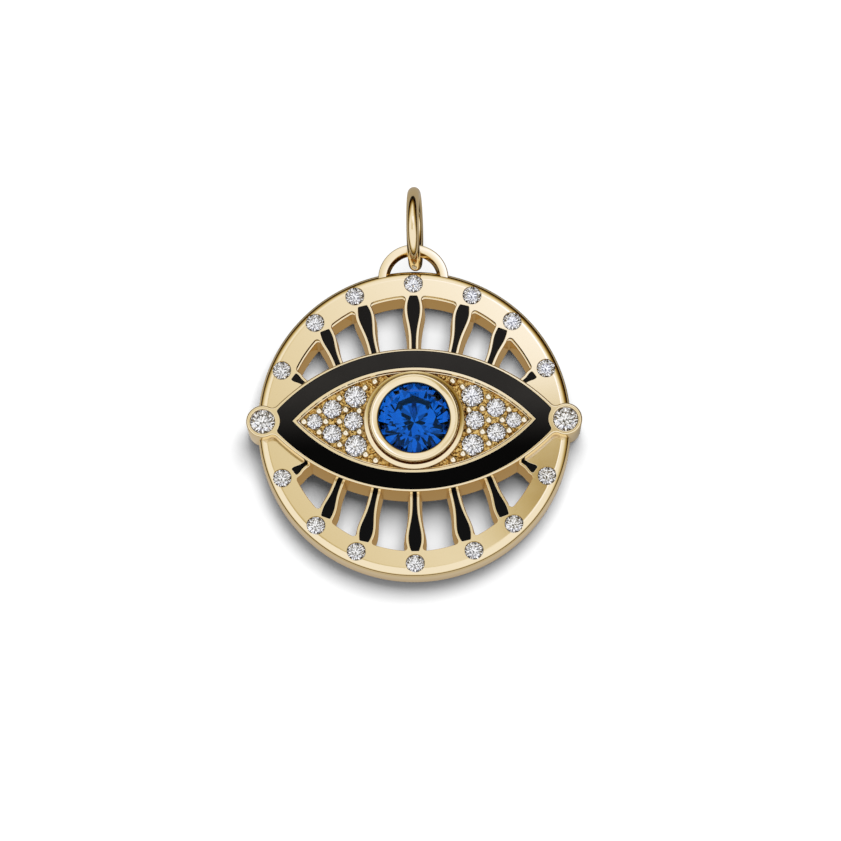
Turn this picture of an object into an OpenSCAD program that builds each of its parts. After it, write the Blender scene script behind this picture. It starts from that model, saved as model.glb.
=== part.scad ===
// Evil eye pendant. A pierced gold disc holds an almond eye with black enamel,
// a bezel set sapphire and pave diamonds. Enamelled lashes join the eye to a rim
// of flush set diamonds, and a jump ring stands through the bail.
// Millimetres. The pendant lies on its back with its face up (+Z) and the bail
// towards +Y. The origin is the middle of the disc's back.

/* [Disc] */
// Outside diameter of the disc
disc_d = 20; // [18.4:0.1:24]
// Thickness of the disc, its rim and its lashes
disc_t = 2.2; // [1.9:0.05:3]
// Width of the rim, from the disc's edge to the windows
rim_w = 1.69; // [1.55:0.01:1.9]
// Radius that rounds the rim's front and back edges
rim_round = 0.4; // [0.1:0.05:0.5]
// Radius of the windows' corners at the rim
window_round = 0.2; // [0.05:0.05:0.2]

/* [Rim diamonds] */
// Diameter of a rim diamond
rim_stone_d = 1.2; // [0.9:0.05:1.3]
// Distance from the disc's edge to the middle of a rim diamond
rim_stone_in = 0.84; // [0.78:0.01:0.9]

/* [Eye plate] */
// Height of the almond, across its middle
eye_h = 9.36; // [8.6:0.02:10]
// Distance from the disc's edge to the almond's corners
eye_corner_in = 0.33; // [0.2:0.01:0.6]
// Height of the eye plate over the disc's face
eye_rise = 0.9; // [0.7:0.05:1.2]
// Width of the gold edge outside the enamel band, at the almond's middle
eye_edge = 0.15; // [0.1:0.01:0.25]
// Width of that gold edge at the almond's corners
eye_edge_end = 0.32; // [0.2:0.01:0.5]
// Width of the enamel band at the almond's middle
band_w = 1.1; // [0.9:0.01:1.2]
// Distance from the almond's corners to the ends of the band's inner edge
band_end = 1.91; // [1.6:0.01:2.1]
// Width of the gold edge between the band and the pave field
field_edge = 0.18; // [0.1:0.01:0.22]
// Depth of the pave field under the plate's face
field_depth = 0.3; // [0.2:0.01:0.4]

/* [Lashes] */
// Width of the widest lash's enamel
lash_w = 0.84; // [0.6:0.01:0.95]
// Width of the gold border along a lash's enamel
lash_border = 0.19; // [0.12:0.01:0.25]
// How far a lash's enamel runs into the rim
lash_over = 0.05; // [0:0.01:0.08]

/* [Enamel] */
// Thickness of the enamel
enamel_t = 0.3; // [0.2:0.01:0.5]
// How far the enamel lies under the gold round it
enamel_drop = 0.02; // [0.01:0.01:0.1]

/* [Sapphire] */
// Diameter of the sapphire
sapphire_d = 5; // [4.6:0.05:5.4]
// Height of the sapphire's bezel over the eye plate
bezel_rise = 0.86; // [0.8:0.01:1.1]
// Width of the bezel's front ring
bezel_ring = 0.57; // [0.5:0.01:0.6]
// Radius that rounds the front ring's outer and inner edges
bezel_edge = 0.16; // [0.12:0.01:0.22]
// How far the front ring's inner edge lies under its outer edge
bezel_dish = 0.22; // [0.05:0.01:0.25]
// Height of the front ring's inner wall over the sapphire's girdle
bezel_wall = 0.3; // [0.25:0.01:0.35]
// How far the front ring reaches over the sapphire
bezel_lip = 0.17; // [0.1:0.01:0.22]
// How far the bezel's base stands out past the front ring
base_step = 0.25; // [0.15:0.01:0.3]
// Height of the bezel's base over the eye plate
base_rise = 0.15; // [0.05:0.01:0.17]
// Depth of the groove between the front ring and the base
groove = 0.1; // [0.05:0.01:0.15]

/* [Side diamonds] */
// Diameter of a side diamond
side_stone_d = 1.7; // [1.4:0.05:1.8]
// Width and height of the round lip of a side bezel
side_ring = 0.28; // [0.24:0.01:0.34]
// How far that lip reaches over the diamond
side_lip = 0.08; // [0.05:0.01:0.1]
// How much narrower a side bezel is at its back, on the radius
side_flare = 0.1; // [0:0.01:0.15]

/* [Pave diamonds] */
// Diameter of the largest pave diamond
pave_d = 1.4; // [1.1:0.05:1.5]
// Diameter of the prong beads
bead_d = 0.4; // [0.25:0.01:0.42]
// Height of a bead's middle over the field
bead_rise = 0.1; // [0.05:0.01:0.15]

/* [Bail and jump ring] */
// Outside diameter of the jump ring
ring_d = 5.4; // [4.8:0.01:6.5]
// Thickness of the jump ring's wire
ring_wire = 0.8; // [0.6:0.01:0.85]
// Angle that the jump ring leans from upright
ring_lean = 3; // [0:0.5:6]
// How far the jump ring stands to the right of the bail's middle
ring_shift = 0.12; // [-0.3:0.01:0.3]
// Outside diameter of the bail's arch
bail_d = 4.5; // [4.2:0.05:5.5]
// Width of the bail's bar, seen from the front
bail_w = 0.72; // [0.5:0.01:0.8]
// Thickness of the bail's bar
bail_t = 0.65; // [0.5:0.01:0.8]
// How far the bail's front lies under the disc's face
bail_drop = 0.1; // [0.05:0.01:0.25]
// Width of the two bevels on the bail's inner edge, which meet at half its thickness
bail_bevel = 0.22; // [0.02:0.01:0.24]

/* [Fit] */
// Clearance between a stone or an enamel and its seat
gap = 0.02; // [0.01:0.005:0.04]
// Clearance between the jump ring, the bail and the rim
ring_gap = 0.05; // [0.03:0.01:0.1]
// How far a stone's table lies under the metal round a flush seat
stone_sink = 0.01; // [0:0.01:0.05]

/* [Hidden] */
$fn = 96;
ROW_OF_LASHES = [-3:3];

// Colours
GOLD = [0.86, 0.71, 0.42];
ENAMEL = [0.05, 0.05, 0.06];
BLUE = [0.05, 0.2, 0.75];
WHITE = [0.92, 0.93, 0.96];

// Levels and radii that follow from the sizes above
disc_r = disc_d / 2;
window_r = disc_r - rim_w;
eye_top = disc_t + eye_rise;
eye_half = disc_r - eye_corner_in;
field_floor = eye_top - field_depth;
sapphire_r = sapphire_d / 2;
bezel_inner_r = sapphire_r - bezel_lip;
bezel_outer_r = bezel_inner_r + bezel_ring;
base_r = bezel_outer_r + base_step;
bezel_outer_z = eye_top + bezel_rise - bezel_edge;
bezel_inner_z = bezel_outer_z - bezel_dish;
side_inner_r = side_stone_d / 2 - side_lip;
side_outer_r = side_inner_r + side_ring;
side_ring_z = eye_top - side_ring / 2;

// Half length and half height of each almond outline
PLATE = [eye_half, eye_h / 2];
BAND_OUT = [eye_half - eye_edge_end, eye_h / 2 - eye_edge];
BAND_IN = [eye_half - band_end, eye_h / 2 - eye_edge - band_w];

// Proportions of a round brilliant, as shares of its diameter
TABLE = 0.56;
CROWN = 0.15;
GIRDLE = 0.03;
PAVILION = 0.43;
STAR_R = 0.4;
LOWER_R = 0.11;

// Lashes from the middle to the side: where the lash leaves the eye as a share
// of the eye's half length, its angle at the rim, then the enamel's width at the
// eye, at its widest and at the rim as shares of lash_w, and where it is widest,
// then the radius at its tip's corners and how much shorter it stops, as shares of
// lash_w too
FOOT = 0;
ANGLE = 1;
NECK = 2;
BELLY = 3;
TIP = 4;
WIDEST = 5;
ROUND_SHARE = 6;
SHORT_SHARE = 7;
LASHES = [
    [0, 0, 0.34, 1, 0.56, 0.77, 0.1, 0],
    [0.258, 23, 0.38, 0.99, 0.68, 0.8, 0.1, 0],
    [0.495, 43, 0.38, 0.82, 0.72, 0.8, 0.1, 0],
    [0.722, 69.4, 0.3, 0.76, 0.7, 0.75, 0.24, 0.2]
];
// Length of a lash's root inside the eye plate
root = 0.3;
// Length kept straight beside a window's rounded corner
corner_reach = 0.4;
// Length kept straight beside a lash's rounded tip, as a share of its radius
TIP_REACH = 1.4;
side_steps = 12;
arc_steps = 10;
round_steps = 5;

// Angles of the rim diamonds from the bail, on one side
RIM_ANGLES = [0, 24.2, 43.6, 67.4];
RIM_PLACES = concat(
    [for (k = [3:-1:1]) -RIM_ANGLES[k]],
    RIM_ANGLES,
    [for (k = [3:-1:1]) 180 - RIM_ANGLES[k]],
    [for (k = [0:3]) 180 + RIM_ANGLES[k]]
);

// Pave diamonds on one side: place along the field as a share of the stretch
// from the sapphire's base to the field's end, place across it as a share of the
// field's half height, and diameter as a share of pave_d
ALONG = 0;
ACROSS = 1;
SIZE = 2;
PAVE = [
    [0.133, 0.494, 1],
    [0.167, 0, 0.857],
    [0.133, -0.494, 1],
    [0.476, 0.248, 0.857],
    [0.476, -0.248, 0.857],
    [0.736, 0, 0.714]
];
// Prong beads on one side and above the middle line, or on it
BEADS = [
    [-0.156, 0.791],
    [-0.011, 0.671],
    [0.077, 0.209],
    [0.278, 0.234],
    [0.368, 0.468],
    [0.37, 0],
    [0.569, 0],
    [0.666, 0.211],
    [0.885, 0]
];

function lash_name(row, k) = str("lash_enamel_", row, "_", k + 4);
function rim_name(k) = str("rim_diamond_", k + 1);
function pave_name(k) = str("pave_diamond_", k < 6 ? "left_" : "right_", k % 6 + 1);

// Radius of the arcs of an almond outline, and how far their centres lie off its
// middle line
function arc_r(almond) = (pow(almond[0], 2) + pow(almond[1], 2)) / (2 * almond[1]);
function arc_off(almond) = arc_r(almond) - almond[1];
function almond_y(almond, x) = sqrt(pow(arc_r(almond), 2) - x * x) - arc_off(almond);

field_r = arc_r(BAND_IN) - field_edge;
field_half_l = sqrt(pow(field_r, 2) - pow(arc_off(BAND_IN), 2));
field_half_h = field_r - arc_off(BAND_IN);

function field_place(row, side) = [
    side * (base_r + row[ALONG] * (field_half_l - base_r)),
    row[ACROSS] * field_half_h
];
function rim_place(k) = (disc_r - rim_stone_in) * [sin(RIM_PLACES[k]), cos(RIM_PLACES[k])];

// Height of a stone above the foot of its girdle
function stone_h(d) = (GIRDLE + CROWN) * d;
sapphire_z = bezel_inner_z - bezel_wall - gap - GIRDLE * sapphire_d;
side_z = side_ring_z - side_ring / 2 - gap - GIRDLE * side_stone_d;
rim_z = disc_t - stone_sink - stone_h(rim_stone_d);
pave_z = field_floor + gap;

// Lash outlines, measured along the lash from the eye (0) to the rim (1)
function lash_foot(i) = let (x = LASHES[i][FOOT] * eye_half) [x, almond_y(PLATE, x)];
function lash_tip(i) =
    (window_r + lash_over - LASHES[i][SHORT_SHARE] * lash_w)
    * [sin(LASHES[i][ANGLE]), cos(LASHES[i][ANGLE])];
function lash_len(i) = norm(lash_tip(i) - lash_foot(i));
function lash_dir(i) = (lash_tip(i) - lash_foot(i)) / lash_len(i);
function lash_right(i) = [lash_dir(i)[1], -lash_dir(i)[0]];
function swell(s, widest) = (1 - cos(180 * pow(s / widest, 1.7))) / 2;
function lash_share(row, s) =
    s <= 0 ? row[NECK] :
    s >= 1 ? row[TIP] :
    s < row[WIDEST] ? row[NECK] + (row[BELLY] - row[NECK]) * swell(s, row[WIDEST]) :
    row[BELLY] - (row[BELLY] - row[TIP]) * pow((s - row[WIDEST]) / (1 - row[WIDEST]), 2);
function lash_side(i, side, s, grow) =
    lash_foot(i) + lash_dir(i) * s * lash_len(i)
    + lash_right(i) * side * (lash_w * lash_share(LASHES[i], s) / 2 + grow);
function root_share(i) = -root / lash_len(i);
function lash_run(i, side, end, grow) =
    let (start = root_share(i))
    [for (k = [0:side_steps]) lash_side(i, side, start + (end - start) * k / side_steps, grow)];
function lash_outline(i, grow) =
    let (
        end = 1 + grow / lash_len(i),
        r = LASHES[i][ROUND_SHARE] * lash_w + grow,
        stop = end - TIP_REACH * r / lash_len(i),
        left = lash_run(i, -1, stop, grow),
        right = lash_run(i, 1, stop, grow),
        tips = [lash_side(i, -1, end, grow), lash_side(i, 1, end, grow)]
    )
    concat(
        left,
        rounded(left[side_steps], tips[0], tips[1], r),
        rounded(tips[0], tips[1], right[side_steps], r),
        [for (k = [side_steps:-1:0]) right[k]]
    );

// Where the gold border of a lash's side meets the windows' outer circle
function rim_share(i, side, low = 0.4, high = 1.6, halvings = 20) =
    let (mid = (low + high) / 2)
    halvings == 0 ? mid :
    norm(lash_side(i, side, mid, lash_border)) > window_r ?
        rim_share(i, side, low, mid, halvings - 1) :
        rim_share(i, side, mid, high, halvings - 1);

// Arc that rounds the corner between the points before and after it
function rounded(before, corner, after, r) =
    let (
        u = (before - corner) / norm(before - corner),
        v = (after - corner) / norm(after - corner),
        half = acos(u * v) / 2,
        middle = corner + (u + v) / norm(u + v) * r / sin(half),
        from = corner + u * r / tan(half) - middle,
        to = corner + v * r / tan(half) - middle,
        start = atan2(from[1], from[0]),
        turn = atan2(from[0] * to[1] - from[1] * to[0], from * to)
    )
    [for (k = [0:round_steps])
        middle + r * [cos(start + turn * k / round_steps), sin(start + turn * k / round_steps)]];

// Window between lash i and the next one, closed inside the eye plate
function border_points(i, side, end) =
    let (start = root_share(i), stop = end - corner_reach / lash_len(i))
    [for (k = [0:side_steps])
        lash_side(i, side, start + (stop - start) * k / side_steps, lash_border)];
function window_outline(i) =
    let (
        end_a = rim_share(i, 1),
        end_b = rim_share(i + 1, -1),
        side_a = border_points(i, 1, end_a),
        side_b = border_points(i + 1, -1, end_b),
        corner_a = lash_side(i, 1, end_a, lash_border),
        corner_b = lash_side(i + 1, -1, end_b, lash_border),
        skip = corner_reach / window_r * 180 / PI,
        angle_a = atan2(corner_a[0], corner_a[1]) + skip,
        angle_b = atan2(corner_b[0], corner_b[1]) - skip,
        arc = [for (k = [0:arc_steps])
            let (a = angle_a + (angle_b - angle_a) * k / arc_steps)
            window_r * [sin(a), cos(a)]]
    )
    concat(
        side_a,
        rounded(side_a[side_steps], corner_a, arc[0], window_round),
        arc,
        rounded(arc[arc_steps], corner_b, side_b[side_steps], window_round),
        [for (k = [side_steps:-1:0]) side_b[k]]
    );
function flipped(points, sx, sy) = [for (p = points) [p[0] * sx, p[1] * sy]];

// The jump ring stands on the surface that the disc lies on, clear of the rim's
// rounded edge, and the bail's bar passes inside it
ring_r = ring_d / 2;
ring_mid_r = ring_r - ring_wire / 2;
ring_z = ring_mid_r * cos(ring_lean) + ring_wire / 2;
ring_y = disc_r - rim_round
    + sqrt(pow(ring_r + ring_gap + rim_round, 2) - pow(ring_z - (disc_t - rim_round), 2));
bail_front = disc_t - bail_drop;
bail_back = bail_front - bail_t;
function inside_ring(z) = ring_y
    - sqrt(pow(ring_r - ring_wire - ring_gap, 2) - pow(ring_z - z, 2));
bail_inner_y = max(inside_ring(bail_front - bail_t / 2), inside_ring(bail_back) - bail_bevel);
bail_r = bail_d / 2;
bail_inner_r = bail_r - bail_w;
bail_y = bail_inner_y - bail_inner_r;
leg_y = sqrt(pow(disc_r, 2) - pow(bail_r, 2)) - rim_w / 2;

module almond(outline, grow = 0) {
    intersection() {
        translate([0, arc_off(outline)]) circle(arc_r(outline) + grow);
        translate([0, -arc_off(outline)]) circle(arc_r(outline) + grow);
    }
}

// Round brilliant with the foot of its girdle at z = 0
function ring_points(n, r, z, turn) =
    [for (k = [0:n - 1]) [r * cos(turn + 360 * k / n), r * sin(turn + 360 * k / n), z]];
function star_z(d) =
    let (slope = (STAR_R * cos(22.5) - TABLE / 2) / (0.5 - TABLE / 2))
    stone_h(d) - CROWN * d * slope;
function lower_z(d) = -PAVILION * d * (1 - LOWER_R * cos(22.5) / 0.5);

module brilliant(d) {
    points = concat(
        ring_points(8, d * TABLE / 2, stone_h(d), 0),
        ring_points(8, d * STAR_R, star_z(d), 22.5),
        ring_points(16, d / 2, GIRDLE * d, 0),
        ring_points(16, d / 2, 0, 0),
        ring_points(8, d * LOWER_R, lower_z(d), 22.5),
        [[0, 0, -PAVILION * d]]
    );
    star = 8;
    upper = 16;
    lower = 32;
    deep = 48;
    culet = 56;
    polyhedron(points, concat(
        [[for (k = [7:-1:0]) k]],
        [for (k = [0:7]) [k, (k + 1) % 8, star + k]],
        [for (k = [0:7]) [k, star + k, upper + 2 * k, star + (k + 7) % 8]],
        [for (k = [0:7]) [upper + 2 * k, star + k, upper + 2 * k + 1]],
        [for (k = [0:7]) [upper + 2 * k + 1, star + k, upper + (2 * k + 2) % 16]],
        [for (k = [0:15])
            [upper + k, upper + (k + 1) % 16, lower + (k + 1) % 16, lower + k]],
        [for (k = [0:7]) [lower + 2 * k, lower + 2 * k + 1, deep + k]],
        [for (k = [0:7]) [lower + 2 * k + 1, lower + (2 * k + 2) % 16, deep + k]],
        [for (k = [0:7]) [culet, deep + (k + 7) % 8, lower + 2 * k, deep + k]]
    ));
}

// Space that a stone needs, with an opening of radius open_r above its girdle
module seat(d, open_r) {
    r = d / 2 + gap;
    above = 1;
    rotate_extrude()
        polygon([
            [0, -PAVILION * d - 2 * gap],
            [d * LOWER_R + gap, lower_z(d) - gap],
            [r, -gap],
            [r, GIRDLE * d + gap],
            [d * STAR_R + gap, star_z(d) + gap],
            [d * TABLE / 2 + gap, stone_h(d) + gap],
            [0, stone_h(d) + gap]
        ]);
    translate([0, 0, GIRDLE * d / 2])
        cylinder(r = open_r, h = stone_h(d) + above);
}

module flush_seat(d) seat(d, d / 2 + gap);

module disc_profile() {
    square([disc_r - rim_round, disc_t]);
    translate([0, rim_round]) square([disc_r, disc_t - 2 * rim_round]);
    for (z = [rim_round, disc_t - rim_round])
        translate([disc_r - rim_round, z]) circle(rim_round);
}

module windows() {
    for (i = [0:2], sx = [1, -1], sy = [1, -1])
        translate([0, 0, -1])
            linear_extrude(disc_t + 2)
                polygon(flipped(window_outline(i), sx, sy));
}

// Outline of a lash's enamel in the top or bottom row, counted from the middle
module lash_shape(row, k, grow) {
    polygon(flipped(lash_outline(abs(k), grow), k < 0 ? -1 : 1, row == "top" ? 1 : -1));
}

module lash_pockets() {
    for (row = ["top", "bottom"], k = ROW_OF_LASHES)
        translate([0, 0, disc_t - enamel_drop - enamel_t - gap])
            linear_extrude(enamel_t + 1)
                lash_shape(row, k, 0);
}

module pierced_disc() {
    difference() {
        rotate_extrude() disc_profile();
        windows();
        lash_pockets();
    }
}

module eye_plate() {
    difference() {
        linear_extrude(eye_top) almond(PLATE);
        translate([0, 0, eye_top - enamel_drop - enamel_t - gap])
            linear_extrude(enamel_t + 1)
                difference() {
                    almond(BAND_OUT);
                    almond(BAND_IN);
                }
        translate([0, 0, field_floor])
            linear_extrude(field_depth + 1)
                almond(BAND_IN, -field_edge);
    }
}

// Section of the front ring: rounded at its outer and inner edges, with a face that
// falls from one to the other
module front_ring() {
    outer = [bezel_outer_r - bezel_edge, bezel_outer_z];
    inner = [bezel_inner_r + bezel_edge, bezel_inner_z];
    fall = (inner - outer) / norm(inner - outer);
    out = bezel_edge * [fall[1], -fall[0]];
    foot_z = bezel_inner_z - bezel_wall;
    for (edge = [outer, inner]) translate(edge) circle(bezel_edge);
    polygon([outer + out, inner + out, inner, outer]);
    polygon([
        [bezel_inner_r, foot_z],
        [bezel_outer_r - groove, foot_z],
        [bezel_outer_r, foot_z + groove],
        [bezel_outer_r, bezel_outer_z],
        outer,
        inner,
        [bezel_inner_r, bezel_inner_z]
    ]);
}

module sapphire_bezel() {
    neck_r = bezel_outer_r - groove;
    foot = 0.2;
    rotate_extrude() {
        translate([0, field_floor - foot])
            square([base_r, eye_top + base_rise - field_floor + foot]);
        translate([0, field_floor - foot])
            square([neck_r, bezel_inner_z - bezel_wall - field_floor + foot]);
        front_ring();
    }
}

module side_bezel(side) {
    translate([side * eye_half, 0, 0])
        rotate_extrude() {
            polygon([
                [0, 0],
                [side_outer_r - side_flare, 0],
                [side_outer_r, side_ring_z],
                [0, side_ring_z]
            ]);
            translate([side_inner_r + side_ring / 2, side_ring_z]) circle(side_ring / 2);
        }
}

module prong_beads() {
    foot = 0.1;
    for (bead = BEADS, side = [1, -1], sy = bead[ACROSS] == 0 ? [1] : [1, -1]) {
        p = field_place(bead, side);
        translate([p[0], p[1] * sy, field_floor + bead_rise]) {
            sphere(d = bead_d, $fn = 32);
            translate([0, 0, -bead_rise - foot])
                cylinder(d = bead_d, h = bead_rise + foot, $fn = 32);
        }
    }
}

// Cross section of the bail's bar: x from its inner edge, y from its back
module bail_section() {
    chamfer = 0.06;
    polygon([
        [bail_w - chamfer, 0],
        [bail_w, chamfer],
        [bail_w, bail_t - chamfer],
        [bail_w - chamfer, bail_t],
        [bail_bevel, bail_t],
        [0, bail_t / 2],
        [bail_bevel, 0]
    ]);
}

module bail() {
    translate([0, bail_y, bail_back])
        intersection() {
            rotate_extrude() translate([bail_inner_r, 0]) bail_section();
            translate([-bail_r - 1, 0, -1]) cube([bail_d + 2, bail_r + 1, bail_t + 2]);
        }
    for (side = [0, 1])
        mirror([side, 0, 0])
            translate([bail_inner_r, max(bail_y, leg_y + 0.1), bail_back])
                rotate([90, 0, 0])
                    linear_extrude(max(bail_y, leg_y + 0.1) - leg_y)
                        bail_section();
}

module pave_seats() {
    for (side = [-1, 1], row = PAVE)
        translate(concat(field_place(row, side), pave_z))
            flush_seat(row[SIZE] * pave_d);
}

module medallion() {
    color(GOLD)
        difference() {
            union() {
                pierced_disc();
                eye_plate();
                sapphire_bezel();
                side_bezel(-1);
                side_bezel(1);
                prong_beads();
                bail();
            }
            translate([0, 0, sapphire_z]) seat(sapphire_d, bezel_inner_r);
            for (side = [-1, 1])
                translate([side * eye_half, 0, side_z]) seat(side_stone_d, side_inner_r);
            for (k = [0:13])
                translate(concat(rim_place(k), rim_z)) flush_seat(rim_stone_d);
            pave_seats();
        }
}

module jump_ring() {
    color(GOLD)
        translate([ring_shift, ring_y, ring_z])
            rotate([0, -ring_lean, 0])
                rotate([0, 90, 0])
                    rotate_extrude()
                        translate([ring_mid_r, 0]) circle(d = ring_wire, $fn = 32);
}

module eye_enamel() {
    color(ENAMEL)
        translate([0, 0, eye_top - enamel_drop - enamel_t])
            linear_extrude(enamel_t)
                difference() {
                    almond(BAND_OUT, -gap);
                    almond(BAND_IN, gap);
                    for (side = [-1, 1])
                        translate([side * eye_half, 0]) circle(side_outer_r + gap);
                }
}

module lash_enamel(row, k) {
    color(ENAMEL)
        translate([0, 0, disc_t - enamel_drop - enamel_t])
            linear_extrude(enamel_t)
                difference() {
                    lash_shape(row, k, -gap);
                    almond(PLATE, gap);
                }
}

module sapphire() {
    color(BLUE) translate([0, 0, sapphire_z]) brilliant(sapphire_d);
}

module rim_diamond(k) {
    color(WHITE)
        translate(concat(rim_place(k), rim_z))
            rotate(-RIM_PLACES[k])
                brilliant(rim_stone_d);
}

module side_diamond(side) {
    color(WHITE) translate([side * eye_half, 0, side_z]) brilliant(side_stone_d);
}

module pave_diamond(k) {
    row = PAVE[k % 6];
    color(WHITE)
        translate(concat(field_place(row, k < 6 ? -1 : 1), pave_z))
            brilliant(row[SIZE] * pave_d);
}

medallion();
jump_ring();
eye_enamel();
for (row = ["top", "bottom"], k = ROW_OF_LASHES)
    lash_enamel(row, k);
sapphire();
for (k = [0:13])
    rim_diamond(k);
side_diamond(-1);  // side_diamond_left
side_diamond(1);  // side_diamond_right
for (k = [0:11])
    pave_diamond(k);
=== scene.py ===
"""Evil eye pendant lying on a white table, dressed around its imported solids.

Sizes are millimetres while a mesh is made, and metres once it is a finished piece. The
pendant lies on its back: its face looks up (+Z) and its bail points to +Y.
"""

import logging
import math
from abc import ABC, abstractmethod
from dataclasses import dataclass
from enum import Enum
from typing import Iterable, Mapping, Sequence

import bmesh
import bpy
from mathutils import Matrix, Quaternion, Vector


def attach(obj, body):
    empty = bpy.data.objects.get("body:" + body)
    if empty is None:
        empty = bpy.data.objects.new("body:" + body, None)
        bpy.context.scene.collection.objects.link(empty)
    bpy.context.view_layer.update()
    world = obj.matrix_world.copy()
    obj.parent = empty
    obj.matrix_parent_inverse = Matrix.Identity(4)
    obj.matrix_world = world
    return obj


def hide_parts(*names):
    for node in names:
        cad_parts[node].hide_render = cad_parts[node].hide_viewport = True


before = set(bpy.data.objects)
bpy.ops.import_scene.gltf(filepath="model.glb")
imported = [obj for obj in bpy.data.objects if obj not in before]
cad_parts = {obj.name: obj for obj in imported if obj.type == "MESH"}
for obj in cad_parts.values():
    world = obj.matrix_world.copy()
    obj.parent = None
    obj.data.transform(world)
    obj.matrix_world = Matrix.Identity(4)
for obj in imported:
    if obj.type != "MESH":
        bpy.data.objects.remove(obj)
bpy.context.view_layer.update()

MM = 0.001
BODY = "root"
MERGE = 1e-4
SMOOTH_ANGLE = math.radians(32)
SEAT_STEPS = 40
POCKET_STEPS = 2

# Least upward or downward share of the normal of a level face, and of a corner beside it
LEVEL_FACE = 0.99999
NEARLY_LEVEL = 0.85

Point = tuple[float, float]
Triple = tuple[float, float, float]
Row = tuple[Sequence[Point], float]
Edges = list[bmesh.types.BMEdge]
Socket = bpy.types.NodeSocket
Feed = Socket | float | Sequence[float]

log = logging.getLogger("pendant")


class Slot(Enum):
    """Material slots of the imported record."""

    GOLD = "gold"
    ENAMEL = "enamel"
    SAPPHIRE = "sapphire"
    DIAMOND = "diamond"


class Side(Enum):
    """Left or right of the eye, as the sign of x."""

    LEFT = -1
    RIGHT = 1


class LashRow(Enum):
    """Row of lashes above or below the eye, as the sign of y."""

    TOP = 1
    BOTTOM = -1


class Carries(Enum):
    """What a socket of a node group carries."""

    NUMBER = "NodeSocketFloat"
    VECTOR = "NodeSocketVector"
    COLOUR = "NodeSocketColor"


def arc(centre: Point, radius: float, start: float, end: float, steps: int) -> list[Point]:
    """Place points along an arc, both ends included.

    Args:
        centre: Middle of the arc's circle.
        radius: Radius of that circle.
        start: Angle of the first point from +X, in degrees.
        end: Angle of the last point, in degrees.
        steps: Number of equal steps between them.

    Returns:
        The points, in order.
    """
    turns = [math.radians(start + (end - start) * k / steps) for k in range(steps + 1)]
    return [(centre[0] + radius * math.cos(t), centre[1] + radius * math.sin(t)) for t in turns]


def circle(centre: Point, radius: float, steps: int) -> list[Point]:
    """Place points round a whole circle."""
    return arc(centre, radius, 0, 360, steps)[:-1]


def circles_meet(first: Point, first_r: float, second: Point, second_r: float) -> Point:
    """Find where two circles cross.

    Args:
        first: Middle of one circle.
        first_r: Its radius.
        second: Middle of the other circle, to the right of the first.
        second_r: Its radius.

    Returns:
        The upper of the two crossings.
    """
    a, b = Vector(first), Vector(second)
    apart = (b - a).length
    along = (first_r**2 - second_r**2 + apart**2) / (2 * apart)
    away = math.sqrt(first_r**2 - along**2)
    ahead = (b - a) / apart
    meet = a + ahead * along + Vector((-ahead.y, ahead.x)) * away
    return meet.x, meet.y


def bearing(centre: Point, target: Point) -> float:
    """Give the angle from one point to another, in degrees from +X."""
    return math.degrees(math.atan2(target[1] - centre[1], target[0] - centre[0]))


def four_fold(quarter: Sequence[Point]) -> list[Point]:
    """Mirror a quarter of an outline into a closed one.

    Args:
        quarter: Points from the +Y axis round to the +X axis, both included.

    Returns:
        The closed outline, clockwise from the top.
    """
    right = list(quarter) + [(x, -y) for x, y in reversed(quarter[:-1])]
    return right + [(-x, y) for x, y in reversed(right[1:-1])]


def flipped(points: Iterable[Point], row: LashRow, side: Side) -> list[Point]:
    """Mirror points of the upper right quarter into another quarter."""
    return [(x * side.value, y * row.value) for x, y in points]


def edge_round(radius: float, steps: int) -> list[Point]:
    """Give the rows that round an edge, from its wall up to its face.

    Args:
        radius: Radius of the rounding.
        steps: Number of steps along it.

    Returns:
        How far each row lies in from the wall, and how far under the face.
    """
    turns = [math.pi / 2 * k / steps for k in range(steps + 1)]
    return [(radius * (1 - math.cos(t)), radius * (1 - math.sin(t))) for t in turns]


def rounded(before: Vector, tip: Vector, after: Vector, radius: float, steps: int = 6) -> list[Vector]:
    """Round a corner of an outline.

    Args:
        before: A point on the side that comes to the corner.
        tip: The sharp corner.
        after: A point on the side that leaves it.
        radius: Radius of the rounding.
        steps: Number of steps along it.

    Returns:
        The points of the rounding.
    """
    u, v = (before - tip).normalized(), (after - tip).normalized()
    half = u.angle(v) / 2
    middle = tip + (u + v).normalized() * radius / math.sin(half)
    start = tip + u * radius / math.tan(half)
    end = tip + v * radius / math.tan(half)
    first, last = bearing(middle, start), bearing(middle, end)
    turn = (last - first + 180) % 360 - 180
    return [Vector(p) for p in arc(tuple(middle), radius, first, first + turn, steps)]


def softened(corners: Sequence[Triple], steps: int = 4) -> list[Point]:
    """Draw a closed outline from its corners, each rounded by its own radius.

    Args:
        corners: Place and radius of each corner.
        steps: Number of steps along each rounding.

    Returns:
        The closed outline.
    """
    places = [Vector(corner[:2]) for corner in corners]
    points = []
    for k, (x, y, radius) in enumerate(corners):
        after = places[(k + 1) % len(places)]
        points += rounded(places[k - 1], Vector((x, y)), after, radius, steps)
    return [tuple(p) for p in points]


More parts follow.
